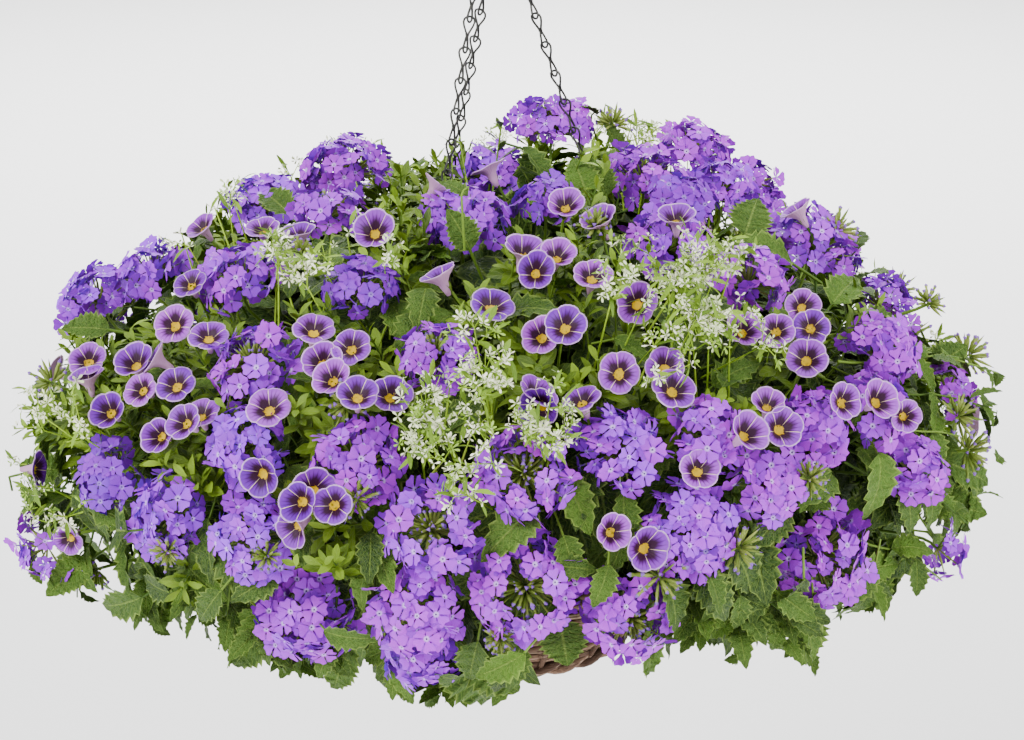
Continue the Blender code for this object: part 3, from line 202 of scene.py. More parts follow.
# Long leaves that stand out of the mound: places in the picture of the foot and the tip, width
LONG_LEAVES = (
    ((470, 250), (452, 205), 0.026), ((745, 235), (757, 182), 0.034), ((790, 262), (745, 238), 0.028),
    ((290, 215), (262, 168), 0.026), ((110, 330), (62, 318), 0.024), ((455, 640), (492, 716), 0.040),
    ((470, 650), (522, 700), 0.036), ((400, 650), (405, 700), 0.030), ((350, 640), (330, 688), 0.028),
    ((270, 620), (228, 664), 0.034), ((560, 620), (568, 668), 0.036), ((650, 610), (654, 690), 0.018),
    ((740, 600), (748, 652), 0.036), ((805, 610), (812, 672), 0.036), ((860, 570), (892, 612), 0.034),
    ((940, 460), (996, 470), 0.032), ((930, 370), (966, 338), 0.028), ((930, 500), (990, 512), 0.030),
    ((90, 560), (42, 596), 0.028), ((170, 580), (152, 636), 0.032), ((60, 470), (18, 462), 0.026),
    ((620, 160), (612, 118), 0.022), ((860, 280), (884, 262), 0.026), ((588, 200), (574, 144), 0.030),
    ((606, 196), (594, 150), 0.026),
)

# Leafy shoots that reach past the mound: places in the picture of the foot and the tip
EDGE_SHOOTS = (
    ((905, 430), (1000, 452)), ((885, 365), (985, 350)), ((880, 480), (962, 512)),
    ((870, 545), (948, 578)), ((850, 560), (882, 622)), ((800, 590), (806, 676)),
    ((735, 590), (738, 655)), ((230, 590), (236, 662)), ((250, 600), (276, 664)),
    ((335, 620), (332, 686)), ((395, 640), (398, 692)), ((150, 570), (150, 634)),
    ((90, 545), (74, 606)), ((60, 520), (28, 572)), ((690, 600), (700, 640)),
    ((455, 660), (440, 700)), ((185, 560), (196, 620)), ((770, 590), (785, 640)),
    ((905, 395), (990, 402)), ((80, 500), (20, 520)), ((600, 150), (596, 112)),
    ((845, 262), (884, 236)), ((300, 640), (300, 676)),
)

# Light green tufts of small leaves: places in the picture and radius in pixels
TUFTS = (
    (290, 178, 40), (430, 172, 62), (480, 272, 46), (580, 140, 50), (600, 230, 60), (100, 322, 46),
    (190, 380, 104), (330, 370, 76), (555, 325, 104), (640, 392, 64), (790, 335, 66),
    (785, 425, 62), (300, 520, 60), (778, 202, 34), (190, 592, 14), (880, 300, 26), (370, 245, 50),
    (240, 200, 50), (700, 220, 40), (60, 420, 40),
)

# Airy sprays: places in the picture, radius in pixels and how many
SPRAYS = (
    (235, 236, 80, 19), (345, 262, 50, 8), (72, 464, 58, 19), (484, 440, 70, 20),
    (674, 338, 74, 24), (290, 300, 40, 6), (452, 160, 36, 6), (640, 150, 24, 3),
    (60, 550, 36, 4), (205, 310, 40, 3), (530, 465, 30, 3), (180, 250, 34, 7),
)

# The skyline and the lower edge of the plants: places in the picture, from left to right
SKYLINE = (
    (0, 430), (25, 385), (70, 300), (130, 264), (190, 210), (240, 170), (290, 158), (345, 124),
    (400, 152), (470, 128), (500, 108), (620, 110), (700, 126), (750, 170), (800, 202), (860, 214),
    (880, 272), (900, 312), (960, 338), (1000, 354), (1024, 440),
)
LOWER_EDGE = (
    (0, 520), (25, 575), (75, 604), (150, 636), (240, 666), (340, 690), (420, 700), (490, 722),
    (525, 700), (560, 672), (625, 655), (650, 688), (670, 650), (740, 658), (785, 660), (810, 680),
    (840, 640), (880, 620), (950, 575), (1003, 470), (1024, 450),
)

# Chains: how far round the basket each stands, and where it hangs in the hook's eye, in degrees
CHAIN_AZIMUTHS = {"right": 0.0, "back": 120.0, "left": 240.0}
CHAIN_EYE_ANGLES = {"right": -66.0, "back": -90.0, "left": -127.0}


def fresh(maker: Callable[[], object]) -> object:
    """A field of a class that each object gets a new one of."""
    return field(default_factory=maker)


def paint(code: str) -> tuple[float, ...]:
    """A colour for a shader from its six-figure code, as a screen shows it."""
    parts = [int(code[n:n + 2], 16) / 255.0 for n in (1, 3, 5)]
    return (*(p / 12.92 if p <= 0.04045 else ((p + 0.055) / 1.055) ** 2.4 for p in parts), 1.0)


def ring_point(reach: float, turn: float, height: float = 0.0) -> Vector:
    """The point at a reach from the upright axis, a turn round it in radians and a height."""
    return Vector((reach * cos(turn), reach * sin(turn), height))


def even(size: float) -> Vector:
    """The same size along each direction."""
    return Vector((size, size, size))


def square_to(axis: Vector, turn: float) -> Vector:
    """The direction square to an axis, at a turn round it in radians."""
    side = axis.orthogonal().normalized()
    return side * cos(turn) + axis.cross(side) * sin(turn)


def polar(azimuth: float, elevation: float) -> Vector:
    """The unit direction at an azimuth and elevation in degrees."""
    rise = radians(elevation)
    return ring_point(cos(rise), radians(azimuth), sin(rise))


def divided(one: Vector, other: Vector, power: int = 1) -> Vector:
    """A vector with each part divided by a power of the same part of another."""
    return Vector([part / by ** power for part, by in zip(one, other)])


def mound_point(way: Vector, scale: float, droop: float = MOUND_DROOP) -> Vector:
    """The point of the mound in a direction, with its skirt drooping.

    Args:
        way: The unit direction from the mound's centre, before the mound is stretched.
        scale: The share of the mound's full size.
        droop: How far the widest part hangs below an even mound.

    Returns:
        The place in metres.
    """
    point = MOUND_SEMI * way * scale
    point.z -= droop * scale * (way.x * way.x + way.y * way.y)
    return MOUND_CENTRE + point


def past_edge(point: Vector, slack: float = 0.0) -> bool:
    """Whether a point lies further out than the widest of the plants."""
    across, deep = WIDEST[0] + slack, WIDEST[1] + slack
    return ((point.x - MOUND_CENTRE.x) / across) ** 2 + (point.y / deep) ** 2 > 1.0


def outward(point: Vector) -> Vector:
    """The direction square to the mound near a point."""
    return divided(point - MOUND_CENTRE, MOUND_SEMI, 2).normalized()


def from_centre(x: float, y: float) -> Vector:
    """The step from the mound's centre to a place in the picture, square to the view."""
    right, high = (x - VIEW_CENTRE[0]) * VIEW_SCALE, (VIEW_CENTRE[1] - y) * VIEW_SCALE
    return Vector((right, 0.0, 0.0)) + RISING * high


def sight(place: Place, inset: float) -> Vector:
    """The point at which the line of sight through a place in the picture meets the mound.

    Args:
        place: The place in the picture, in pixels.
        inset: How far under the mound's surface the line is stopped.

    Returns:
        The place in metres. A line that misses the mound stops where it passes nearest.
    """
    start = LOOKING * -VIEW_DISTANCE
    ray = (from_centre(*place) - start).normalized()
    semi = MOUND_SEMI - Vector((inset, inset, inset))
    flat_start, flat_ray = divided(start, semi), divided(ray, semi)
    square, half = flat_ray.dot(flat_ray), flat_ray.dot(flat_start)
    left = half * half - square * (flat_start.dot(flat_start) - 1.0)
    return MOUND_CENTRE + start + ray * ((-half - sqrt(max(left, 0.0))) / square)


def picture_place(point: Vector) -> tuple[float, float, float]:
    """The place in the picture of a point, in pixels, and its distance from the view."""
    off = point - MOUND_CENTRE
    depth = off.dot(LOOKING) + VIEW_DISTANCE
    share = VIEW_DISTANCE / depth / VIEW_SCALE
    return (VIEW_CENTRE[0] + off.x * share, VIEW_CENTRE[1] - off.dot(RISING) * share, depth)


def level_at(line: tuple[Place, ...], x: float) -> float:
    """The height in the picture of a line of places, at a place across."""
    for (left, first), (right, last) in zip(line, line[1:]):
        if x <= right:
            return first + (last - first) * max(x - left, 0.0) / (right - left)
    return line[-1][1]


def in_outline(point: Vector, slack: float = 0.0) -> bool:
    """Whether a point shows between the skyline and the lower edge of the plants."""
    x, y, _ = picture_place(point)
    return level_at(SKYLINE, x) - slack < y < level_at(LOWER_EDGE, x) + slack


def edge_share(point: Vector) -> float:
    """How far a point shows from the plants' outline, from 0 on it to 1 well inside."""
    x, y, _ = picture_place(point)
    above, below = y - level_at(SKYLINE, x), 0.7 * (level_at(LOWER_EDGE, x) - y)
    return min(max(min(above, below, x - 10.0, 0.55 * (1000.0 - x)) / 64.0, 0.0), 1.0)


def in_view(point: Vector) -> bool:
    """Whether the mound near a point is turned to the camera."""
    return outward(point).dot(LOOKING) < 0.12


def turn_for(along: Vector, facing: Vector) -> Quaternion:
    """The turn that lays a shape's +Y along one way and its +Z as near as may be to another."""
    length = along.normalized()
    face = facing - length * facing.dot(length)
    if face.length < 1e-6:
        face = length.orthogonal()
    face.normalize()
    return Matrix((length.cross(face), length, face)).transposed().to_quaternion()


def jitter(dice: Dice, size: float) -> Vector:
    """A small random step."""
    return Vector([dice.uniform(-size, size) for _ in range(3)])


def even_way(dice: Dice) -> Vector:
    """A random direction, as likely for each patch of the mound's surface as for any other."""
    semi = MOUND_SEMI
    across = Vector((semi.y * semi.z, semi.x * semi.z, semi.x * semi.y))
    while True:
        rise, turn = dice.uniform(-0.94, 1.0), dice.uniform(0.0, tau)
        way = ring_point(sqrt(1.0 - rise * rise), turn, rise)
        if dice.random() < (across * way).length / across.z:
            return way


def eased(points: list[Vector], steps: int) -> list[Vector]:
    """A smooth line through a few points.

    Args:
        points: The points that the line passes through.
        steps: How many steps the line takes between two of them.

    Returns:
        The points of the smooth line.
    """
    made, last = [], len(points) - 1
    for number in range(last):
        start, end = points[number], points[number + 1]
        before, after = points[max(number - 1, 0)], points[min(number + 2, last)]
        for step in range(steps):
            t = step / steps
            bend = (end - before) * 0.5 * (t - 2.0 * t * t + t ** 3)
            bend += (after - start) * 0.5 * (t ** 3 - t * t)
            made.append(start * (1 + 2 * t) * (1 - t) ** 2 + end * t * t * (3 - 2 * t) + bend)
    return made + [points[-1]]


class Value:
    """What a node gives. A sum with it is worked out by a node of its own."""

    def __init__(self, wiring: "Wiring", socket: bpy.types.NodeSocket) -> None:
        """Take the wiring it belongs to and the socket it comes from."""
        self.wiring, self.socket = wiring, socket

    def __add__(self, other: object) -> "Value":
        """The value and another, added."""
        return self.wiring.calc("ADD", self, other)

    def __sub__(self, other: object) -> "Value":
        """The value less another."""
        return self.wiring.calc("SUBTRACT", self, other)

    def __rsub__(self, other: object) -> "Value":
        """Another less the value."""
        return self.wiring.calc("SUBTRACT", other, self)

    def __mul__(self, other: object) -> "Value":
        """The value times another."""
        return self.wiring.calc("MULTIPLY", self, other)

    def __abs__(self) -> "Value":
        """The value without its sign."""
        return self.wiring.calc("ABSOLUTE", self)


class Wiring:
    """Adds nodes to a tree and links them."""

    def __init__(self, tree: bpy.types.NodeTree) -> None:
        """Take the tree that the nodes go into."""
        self.tree = tree

    def give(self, node: bpy.types.Node, inputs: Inputs) -> None:
        """Link each input of a node to a value, or set it to a number, colour or name."""
        for key, value in inputs.items():
            if isinstance(value, Value):
                self.tree.links.new(value.socket, node.inputs[key])
            else:
                coloured = isinstance(value, str) and value.startswith("#")
                node.inputs[key].default_value = paint(value) if coloured else value

    def node(self, kind: str, inputs: Inputs, **settings: object) -> bpy.types.Node:
        """A new node with its settings and its inputs."""
        made = self.tree.nodes.new(kind)
        for name, value in settings.items():
            setattr(made, name, value)
        self.give(made, inputs)
        return made

    def value(
        self, kind: str, inputs: Inputs, output: str | int = 0, **settings: object,
    ) -> Value:
        """One output of a new node."""
        return Value(self, self.node(kind, inputs, **settings).outputs[output])

    def calc(self, kind: str, *values: object, clamp: bool = False) -> Value:
        """A sum of one kind."""
        return self.value("ShaderNodeMath", dict(enumerate(values)), operation=kind, use_clamp=clamp)

    def blend(self, share: object, first: object, second: object) -> Value:
        """A mix of two colours."""
        return self.value("ShaderNodeMix", {0: share, 6: first, 7: second}, 2, data_type="RGBA")

    def ramp(self, value: object, low: object, high: object) -> Value:
        """A smooth step from 0 at the low value to 1 at the high one."""
        inputs = {0: value, 1: low, 2: high}
        return self.value("ShaderNodeMapRange", inputs, interpolation_type="SMOOTHSTEP")

    def attribute(self, name: str) -> Value:
        """A number that the mesh carries."""
        return self.value("ShaderNodeAttribute", {}, "Fac", attribute_name=name)

    def carried(self, name: str, kind: str) -> Value:
        """A value that the points of a geometry tree carry."""
        return self.value("GeometryNodeInputNamedAttribute", {"Name": name}, "Attribute", data_type=kind)

    def own_place(self) -> Value:
        """The place on the object itself."""
        return self.value("ShaderNodeTexCoord", {}, "Object")

    def noise(self, scale: object, detail: float, vector: Value | None = None) -> Value:
        """Soft noise on the object's own coordinates, or on the vector given."""
        inputs = {"Vector": vector or self.own_place(), "Scale": scale, "Detail": detail}
        return self.value("ShaderNodeTexNoise", inputs)

    def parts(self, vector: Value) -> list[Value]:
        """The three parts of a vector."""
        return [Value(self, part) for part in self.node("ShaderNodeSeparateXYZ", {0: vector}).outputs]

    def chart(self) -> list[Value]:
        """The two directions of the piece's own chart, across and along."""
        return self.parts(self.value("ShaderNodeUVMap", {}, uv_map="chart"))[:2]

    def group(self, name: str, **inputs: object) -> dict[str, Value]:
        """The outputs of a shader group by their names, from the values of its inputs."""
        made = self.node("ShaderNodeGroup", {}, node_tree=bpy.data.node_groups[name])
        self.give(made, inputs)
        return {socket.name: Value(self, socket) for socket in made.outputs}


def start_tree(family: str, name: str, **inputs: str) -> tuple[Wiring, dict[str, Value]]:
    """Start a node tree that pieces or materials share.

    Args:
        family: Shader or Geometry.
        name: The tree's name.
        inputs: The kind of each input, by its name.

    Returns:
        The wiring of the tree, and its inputs by their names.
    """
    tree = bpy.data.node_groups.new(name, family + "NodeTree")
    for title, kind in inputs.items():
        tree.interface.new_socket(name=title, in_out="INPUT", socket_type="NodeSocket" + kind)
    wiring = Wiring(tree)
    given = wiring.node("NodeGroupInput", {})
    return wiring, {title: Value(wiring, given.outputs[title]) for title in inputs}


def end_tree(wiring: Wiring, **outputs: Value) -> None:
    """End a node tree with its named outputs, of which all but Color and Geometry are numbers."""
    for title in outputs:
        kind = title if title in ("Color", "Geometry") else "Float"
        wiring.tree.interface.new_socket(
            name=title, in_out="OUTPUT", socket_type="NodeSocket" + kind,
        )
    wiring.node("NodeGroupOutput", outputs)


def mottle_effect() -> None:
    """The group that spreads a colour between two tones, by piece and in soft blotches."""
    wiring, given = start_tree(
        "Shader", "mottle", Dark="Color", Light="Color", Scale="Float", Blotch="Float",
    )
    spread = (wiring.noise(given["Scale"], 3.0) - 0.5) * given["Blotch"]
    share = wiring.calc("ADD", wiring.attribute("tone"), spread, clamp=True)
    end_tree(wiring, Color=wiring.blend(share, given["Dark"], given["Light"]), Mask=share)


def vein_effect() -> None:
    """The group that draws a midrib and slanting side veins, and puckers the leaf between them."""
    wiring, given = start_tree(
        "Shader", "leaf_veins", Count="Float", Slant="Float", Width="Float", Pucker="Float",
    )
    width, pucker = given["Width"], given["Pucker"]
    across, along = wiring.chart()
    side = abs(across - 0.5) * 2.0
    midrib = wiring.ramp(side, width, 0.0)
    phase = along * given["Count"] - side * given["Slant"]
    saw = abs(wiring.calc("FRACT", phase) - 0.5)
    rib = wiring.ramp(saw, 0.5 - width, 0.5)
    point = wiring.value("ShaderNodeCombineXYZ", {0: across * 9.0, 1: along * 15.0})
    cells = wiring.value(
        "ShaderNodeTexVoronoi", {"Vector": point, "Scale": 1.0}, "Distance", feature="DISTANCE_TO_EDGE",
    )
    net = wiring.ramp(cells, 0.10, 0.0) * pucker
    ribs = wiring.calc("MAXIMUM", midrib, rib * 0.75)
    swell = wiring.ramp(cells, 0.0, 0.45) * pucker
    end_tree(
        wiring, Vein=wiring.calc("MAXIMUM", ribs, net * 0.55), Height=swell + 0.3 - ribs * 0.5,
        Edge=wiring.ramp(side, 0.80, 1.0),
    )


def strand_effect() -> None:
    """The group that draws fibre and bark along a strand that has a length at each point."""
    wiring, given = start_tree("Shader", "strand_grain", Fine="Float", Long="Float")
    right, deep, high = wiring.parts(wiring.own_place())
    reach = wiring.calc("SQRT", right * right + deep * deep)
    point = wiring.value("ShaderNodeCombineXYZ", {
        0: wiring.attribute("along") * given["Long"], 1: reach * given["Fine"], 2: high * given["Fine"],
    })
    end_tree(wiring, Grain=wiring.noise(1.0, 4.0, point), Coarse=wiring.noise(0.35, 2.0, point))


# Colour, roughness, height of the relief, strength of the relief, metres that a height of 1 stands for
Look = tuple[Value, object, Value, float, float]


@dataclass(frozen=True)
class Surface:
    """A finish: its name and what is the same all over it."""

    name: str
    roughness: float
    metallic: float = 0.0
    shine: float = 0.22

    def draw(self, wiring: Wiring) -> Look:
        """What changes over the surface."""
        raise NotImplementedError

    def make(self) -> Finish:
        """The material of the finish."""
        made = bpy.data.materials.new(self.name)
        made.use_nodes = True
        wiring = Wiring(made.node_tree)
        colour, rough, height, depth, size = self.draw(wiring)
        normal = wiring.value("ShaderNodeBump", {"Strength": depth, "Distance": size, "Height": height})
        wiring.give(made.node_tree.nodes["Principled BSDF"], {
            "Specular IOR Level": self.shine, "Metallic": self.metallic, "Base Color": colour,
            "Roughness": rough, "Normal": normal,
        })
        return made


@dataclass(frozen=True)
class LeafFinish(Surface):
    """A leaf: two greens, veins that show paler, and a puckered or smooth face."""

    dark: str = "#20380E"
    light: str = "#4C6E1C"
    vein: str = "#9CB650"
    count: float = 7.0
    slant: float = 2.4
    width: float = 0.10
    pucker: float = 0.5
    vein_share: float = 0.45
    edge_share: float = 0.42
    relief: float = 0.8

    def draw(self, wiring: Wiring) -> Look:
        """The look of the leaf."""
        tones = wiring.group("mottle", Dark=self.dark, Light=self.light, Scale=70.0, Blotch=0.7)
        veins = wiring.group(
            "leaf_veins", Count=self.count, Slant=self.slant, Width=self.width, Pucker=self.pucker,
        )
        lit = wiring.blend(veins["Vein"] * self.vein_share, tones["Color"], self.vein)
        rimmed = wiring.blend(veins["Edge"] * self.edge_share, lit, self.vein)
        # Painted shade, darkest where the relief sinks lowest: along the sunken veins and in the creases
        # of the pucker
        shade = wiring.ramp(veins["Height"], 0.20, -0.20) * 0.45
        rough = (tones["Mask"] - 0.5) * 0.16 + self.roughness
        return wiring.blend(shade, rimmed, self.dark), rough, veins["Height"], self.relief, 0.0016


@dataclass(frozen=True)
class FloretFinish(Surface):
    """A verbena petal: three violets, a pale eye and faint rays, with painted shade between the petals, in
    the throat and on darkened florets.
    """

    # The deep violet of the rays, which also serves as the colour of painted shade
    deep: str = "#5412A4"
    warm: str = "#B41CDE"
    cool: str = "#903CFA"
    pale: str = "#E4D8FC"
    # The colour of the painted shade in the mouth of the tube
    throat: str = "#3A3048"

    def draw(self, wiring: Wiring) -> Look:
        """The look of the florets."""
        tones = wiring.group("mottle", Dark=self.warm, Light=self.cool, Scale=110.0, Blotch=0.5)
        across, along = wiring.chart()
        right, high = across - 0.5, along - 0.5
        reach = wiring.calc("SQRT", right * right + high * high) * 2.0
        angle = wiring.calc("ARCTAN2", high, right)
        rays = wiring.calc("SINE", angle * 35.0)
        grain = wiring.noise(900.0, 2.0)
        body = wiring.blend(wiring.ramp(rays, 0.2, 1.0) * grain * 0.30, tones["Color"], self.deep)
        # Painted shade where the petals meet each other
        between = wiring.ramp(wiring.calc("COSINE", angle * 5.0), -0.6, -1.0) * 0.30
        shaded = wiring.blend(between, body, self.deep)
        eyed = wiring.blend(wiring.ramp(reach, 0.27, 0.08) * 0.66, shaded, self.pale)
        # Painted shade in the mouth of the tube
        colour = wiring.blend(wiring.ramp(reach, 0.085, 0.045), eyed, self.throat)
        # Painted shade on each floret, as much as its shade attribute says
        darkened = wiring.blend(wiring.attribute("shade"), colour, self.deep)
        return darkened, self.roughness, rays * 0.3 + grain, 0.35, 0.0004


@dataclass(frozen=True)
class TrumpetFinish(Surface):
    """A calibrachoa trumpet: a golden throat, a dark star, violet lobes, pale seams and edge."""

    gold: str = "#C8A400"
    dark: str = "#2A0226"
    violet: str = "#5E0C9E"
    pink: str = "#A846CC"
    pale: str = "#E4BEEA"
    seam: str = "#F0D8A8"
    back: str = "#B88CB0"

    def draw(self, wiring: Wiring) -> Look:
        """The look of the trumpets."""
        tones = wiring.group("mottle", Dark=self.violet, Light=self.pink, Scale=90.0, Blotch=0.5)
        around, reach = wiring.chart()
        lobe = abs(wiring.calc("FRACT", around * 5.0) - 0.5)
        fine = wiring.calc("SINE", around * (tau * 25.0))
        wobble = wiring.noise(500.0, 2.0)
        veins = wiring.ramp(fine, 0.1, 1.0) * wiring.ramp(reach, 0.98, 0.55)
        veined = wiring.blend(veins * (wobble * 0.5 + 0.45), tones["Color"], self.dark)
        star = 0.65 - lobe * 0.28
        throat = wiring.blend(wiring.ramp(reach, star + 0.17, star - 0.13), veined, self.dark)
        edged = wiring.blend(wiring.ramp(reach, 0.91, 0.99) * (wobble + 0.2), throat, self.pale)
        line = wiring.ramp(lobe, 0.470, 0.498)
        span = wiring.ramp(reach, 0.28, 0.42) * wiring.ramp(reach, 1.02, 0.80)
        seamed = wiring.blend(line * span * 0.85, edged, self.seam)
        gilt = wiring.blend(wiring.ramp(reach + wobble * 0.26, 0.44, 0.38), seamed, self.gold)
        behind = wiring.blend(wiring.ramp(reach, 1.02, 1.06), gilt, self.back)
        return behind, self.roughness, fine * 0.4 + wobble, 0.35, 0.0004


@dataclass(frozen=True)
class SpikeFinish(Surface):
    """A calyx with its tube: green at the foot, and violet where the flower comes out."""

    low: str = "#627828"
    light: str = "#98A450"
    high: str = "#7C50B0"
    turn: float = 0.84

    def draw(self, wiring: Wiring) -> Look:
        """The look of the calyxes and buds."""
        tones = wiring.group("mottle", Dark=self.low, Light=self.light, Scale=160.0, Blotch=0.8)
        grain = wiring.noise(1200.0, 2.0)
        share = wiring.ramp(wiring.chart()[1] + grain * 0.06, self.turn, self.turn + 0.10)
        return wiring.blend(share, tones["Color"], self.high), self.roughness, grain, 0.4, 0.0004


@dataclass(frozen=True)
class PlainPlantFinish(Surface):
    """A stem or a small bract: two tones with fine streaks."""

    dark: str = "#34500F"
    light: str = "#6C8A2C"
    fine: float = 420.0

    def draw(self, wiring: Wiring) -> Look:
        """The look of the stems or bracts."""
        tones = wiring.group("mottle", Dark=self.dark, Light=self.light, Scale=self.fine * 0.3, Blotch=0.6)
        grain = wiring.noise(self.fine, 3.0)
        return tones["Color"], grain * 0.2 + (self.roughness - 0.1), grain, 0.4, 0.0005


@dataclass(frozen=True)
class WireFinish(Surface):
    """Dull dark steel wire, worn lighter in places."""

    dark: str = "#3A3A38"
    worn: str = "#77756F"
    fine: float = 700.0

    def draw(self, wiring: Wiring) -> Look:
        """The look of the wire."""
        rough = wiring.noise(self.fine, 4.0)
        share = wiring.ramp(wiring.noise(self.fine * 0.16, 3.0), 0.48, 0.72) * rough
        colour = wiring.blend(share, self.dark, self.worn)
        return colour, (rough - 0.5) * 0.3 + self.roughness, rough, 0.25, 0.0003


@dataclass(frozen=True)
class VineFinish(Surface):
    """Dry brown vine with bark that splits along the strand."""

    dark: str = "#3E2A20"
    light: str = "#8A6C58"
    pale: str = "#B8A088"

    def draw(self, wiring: Wiring) -> Look:
        """The look of the woven strands."""
        bark = wiring.group("strand_grain", Fine=1300.0, Long=60.0)
        grain = bark["Grain"]
        tones = wiring.group("mottle", Dark=self.dark, Light=self.light, Scale=45.0, Blotch=0.9)
        barked = wiring.blend(wiring.ramp(grain, 0.56, 0.36) * 0.75, tones["Color"], self.dark)
        rubbed = wiring.blend(wiring.ramp(bark["Coarse"], 0.56, 0.70) * 0.55, barked, self.pale)
        return rubbed, grain * 0.2 + (self.roughness - 0.08), grain, 0.9, 0.0010


@dataclass(frozen=True)
class MattedFinish(Surface):
    """Coco fibre or soil: a rough mat of two tones."""

    dark: str = "#3A2414"
    light: str = "#8A6238"
    fine: float = 500.0

    def draw(self, wiring: Wiring) -> Look:
        """The look of the liner or the soil."""
        mat = wiring.noise(self.fine, 6.0)
        share = mat * 0.7 + wiring.noise(self.fine * 0.12, 3.0) * 0.4
        colour = wiring.blend(wiring.ramp(share, 0.35, 0.75), self.dark, self.light)
        return colour, mat * 0.15 + (self.roughness - 0.1), mat, 1.0, 0.0015


class Palette:
    """All the finishes of the basket, made once."""

    def __init__(self) -> None:
        """Make the shared groups, then each material."""
        mottle_effect()
        vein_effect()
        strand_effect()
        self.verbena_leaf = LeafFinish("verbena_leaf", 0.62).make()
        self.spoon_leaf = LeafFinish(
            "calibrachoa_leaf", 0.50, dark="#263E08", light="#7E9E1E", vein="#A8C058",
            count=4.0, slant=1.2, width=0.12, pucker=0.12, vein_share=0.30, edge_share=0.10, relief=0.35,
        ).make()
        self.narrow_leaf = LeafFinish(
            "euphorbia_leaf", 0.55, dark="#3E6012", light="#84A42C", vein="#A8C458",
            count=3.0, slant=0.8, width=0.14, pucker=0.10, vein_share=0.35, edge_share=0.10, relief=0.3,
        ).make()
        self.floret = FloretFinish("verbena_petal", 0.55).make()
        self.trumpet = TrumpetFinish("calibrachoa_petal", 0.50).make()
        self.calyx = SpikeFinish("verbena_calyx", 0.60).make()
        self.bract = PlainPlantFinish("euphorbia_bract", 0.60, dark="#8CB038", light="#FFFFE2").make()
        self.stem = PlainPlantFinish("green_stem", 0.60).make()
        self.pale_stem = PlainPlantFinish("euphorbia_stem", 0.60, dark="#6C921A", light="#A6C838").make()
        self.wire = WireFinish("chain_wire", 0.50, 0.85).make()
        self.hook_wire = WireFinish("hook_wire", 0.42, 0.90, dark="#303030", worn="#6A6863").make()
        self.vine = VineFinish("dry_vine", 0.82).make()
        self.coco = MattedFinish("coco_fibre", 0.95).make()
        self.earth = MattedFinish("potting_soil", 1.0, dark="#120C08", light="#4A3626", fine=320.0).make()


def baked(thing: Thing, kept: tuple[str, ...]) -> Thing:
    """Turn an object with live geometry nodes into a plain mesh.

    Args:
        thing: The object with its modifier.
        kept: The attributes that its material reads.

    Returns:
        The same object, with the made mesh and no modifier.
    """
    graph = bpy.context.evaluated_depsgraph_get()
    mesh = bpy.data.meshes.new_from_object(
        thing.evaluated_get(graph), preserve_all_data_layers=True, depsgraph=graph,
    )
    thing.modifiers.clear()
    old, thing.data = thing.data, mesh
    bpy.data.meshes.remove(old)
    mesh.name = thing.name
    for title in ("turn", "size", "pick", "thick", "tone", "shade", "along"):
        if title not in kept and title in mesh.attributes:
            mesh.attributes.remove(mesh.attributes[title])
    return thing


def joined(name: str, parts: list[Thing]) -> Thing:
    """Join several meshes into one piece.

    Args:
        name: The name of the piece.
        parts: The objects, the first of which takes in the others.

    Returns:
        The piece.
    """
    first = parts[0]
    if len(parts) > 1:
        with bpy.context.temp_override(
            object=first, active_object=first, selected_objects=parts, selected_editable_objects=parts,
        ):
            bpy.ops.object.join()
    first.name = first.data.name = name
    return first


def gathered(name: str, slot: str, parts: list[Thing | None], *nodes: str) -> Thing:
    """Join the parts that there are into one piece, and land it.

    Args:
        name: The name of the piece.
        slot: The record's material slot.
        parts: The parts, of which some may be missing.
        nodes: The solids that it stands for.

    Returns:
        The piece.
    """
    return landed(joined(name, [part for part in parts if part]), slot, *nodes)


def landed(piece: Thing, slot: str, *nodes: str) -> Thing:
    """Let a finished piece ride, and hide the solids that it stands for.

    Args:
        piece: The piece.
        slot: The record's material slot. Not used.
        nodes: The solids that it stands for.

    Returns:
        The piece.
    """
    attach(piece, ROOT)
    if nodes:
        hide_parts(*nodes)
    piece.data.calc_loop_triangles()
    log.info("%s: %d triangles", piece.name, len(piece.data.loop_triangles))
    return piece


def shown(name: str, data: bpy.types.ID) -> Thing:
    """A new object of the scene, with its mesh, lamp or camera."""
    thing = bpy.data.objects.new(name, data)
    bpy.context.scene.collection.objects.link(thing)
    return thing


def scatter_tree() -> None:
    """The tree that sets a shape on each point, turned and sized as the point says."""
    wiring, given = start_tree(
        "Geometry", "scatter", Geometry="Geometry", Shapes="Collection", Finish="Material",
    )
    shapes = wiring.value("GeometryNodeCollectionInfo", {
        "Separate Children": True, "Reset Children": True, "Collection": given["Shapes"],
    })
    finish_tree(wiring, given, wiring.value("GeometryNodeInstanceOnPoints", {
        "Points": given["Geometry"], "Instance": shapes, "Pick Instance": True,
        "Instance Index": wiring.carried("pick", "INT"),
        "Rotation": wiring.carried("turn", "QUATERNION"),
        "Scale": wiring.carried("size", "FLOAT_VECTOR"),
    }))


def strand_tree() -> None:
    """The tree that sweeps a round section along lines of edges."""
    wiring, given = start_tree(
        "Geometry", "strand", Geometry="Geometry", Sides="Int", Finish="Material",
    )
    line = wiring.value("GeometryNodeMeshToCurve", {"Mesh": given["Geometry"]})
    measured = wiring.value("GeometryNodeStoreNamedAttribute", {
        "Name": "along", "Geometry": line,
        "Value": wiring.value("GeometryNodeSplineParameter", {}, "Length"),
    }, data_type="FLOAT", domain="POINT")
    section = wiring.value(
        "GeometryNodeCurvePrimitiveCircle", {"Radius": 1.0, "Resolution": given["Sides"]},
    )
    sweep = wiring.value("GeometryNodeCurveToMesh", {
        "Curve": measured, "Profile Curve": section, "Scale": wiring.carried("thick", "FLOAT"),
        "Fill Caps": True,
    })
    finish_tree(wiring, given, wiring.value("GeometryNodeSetShadeSmooth", {"Geometry": sweep}))


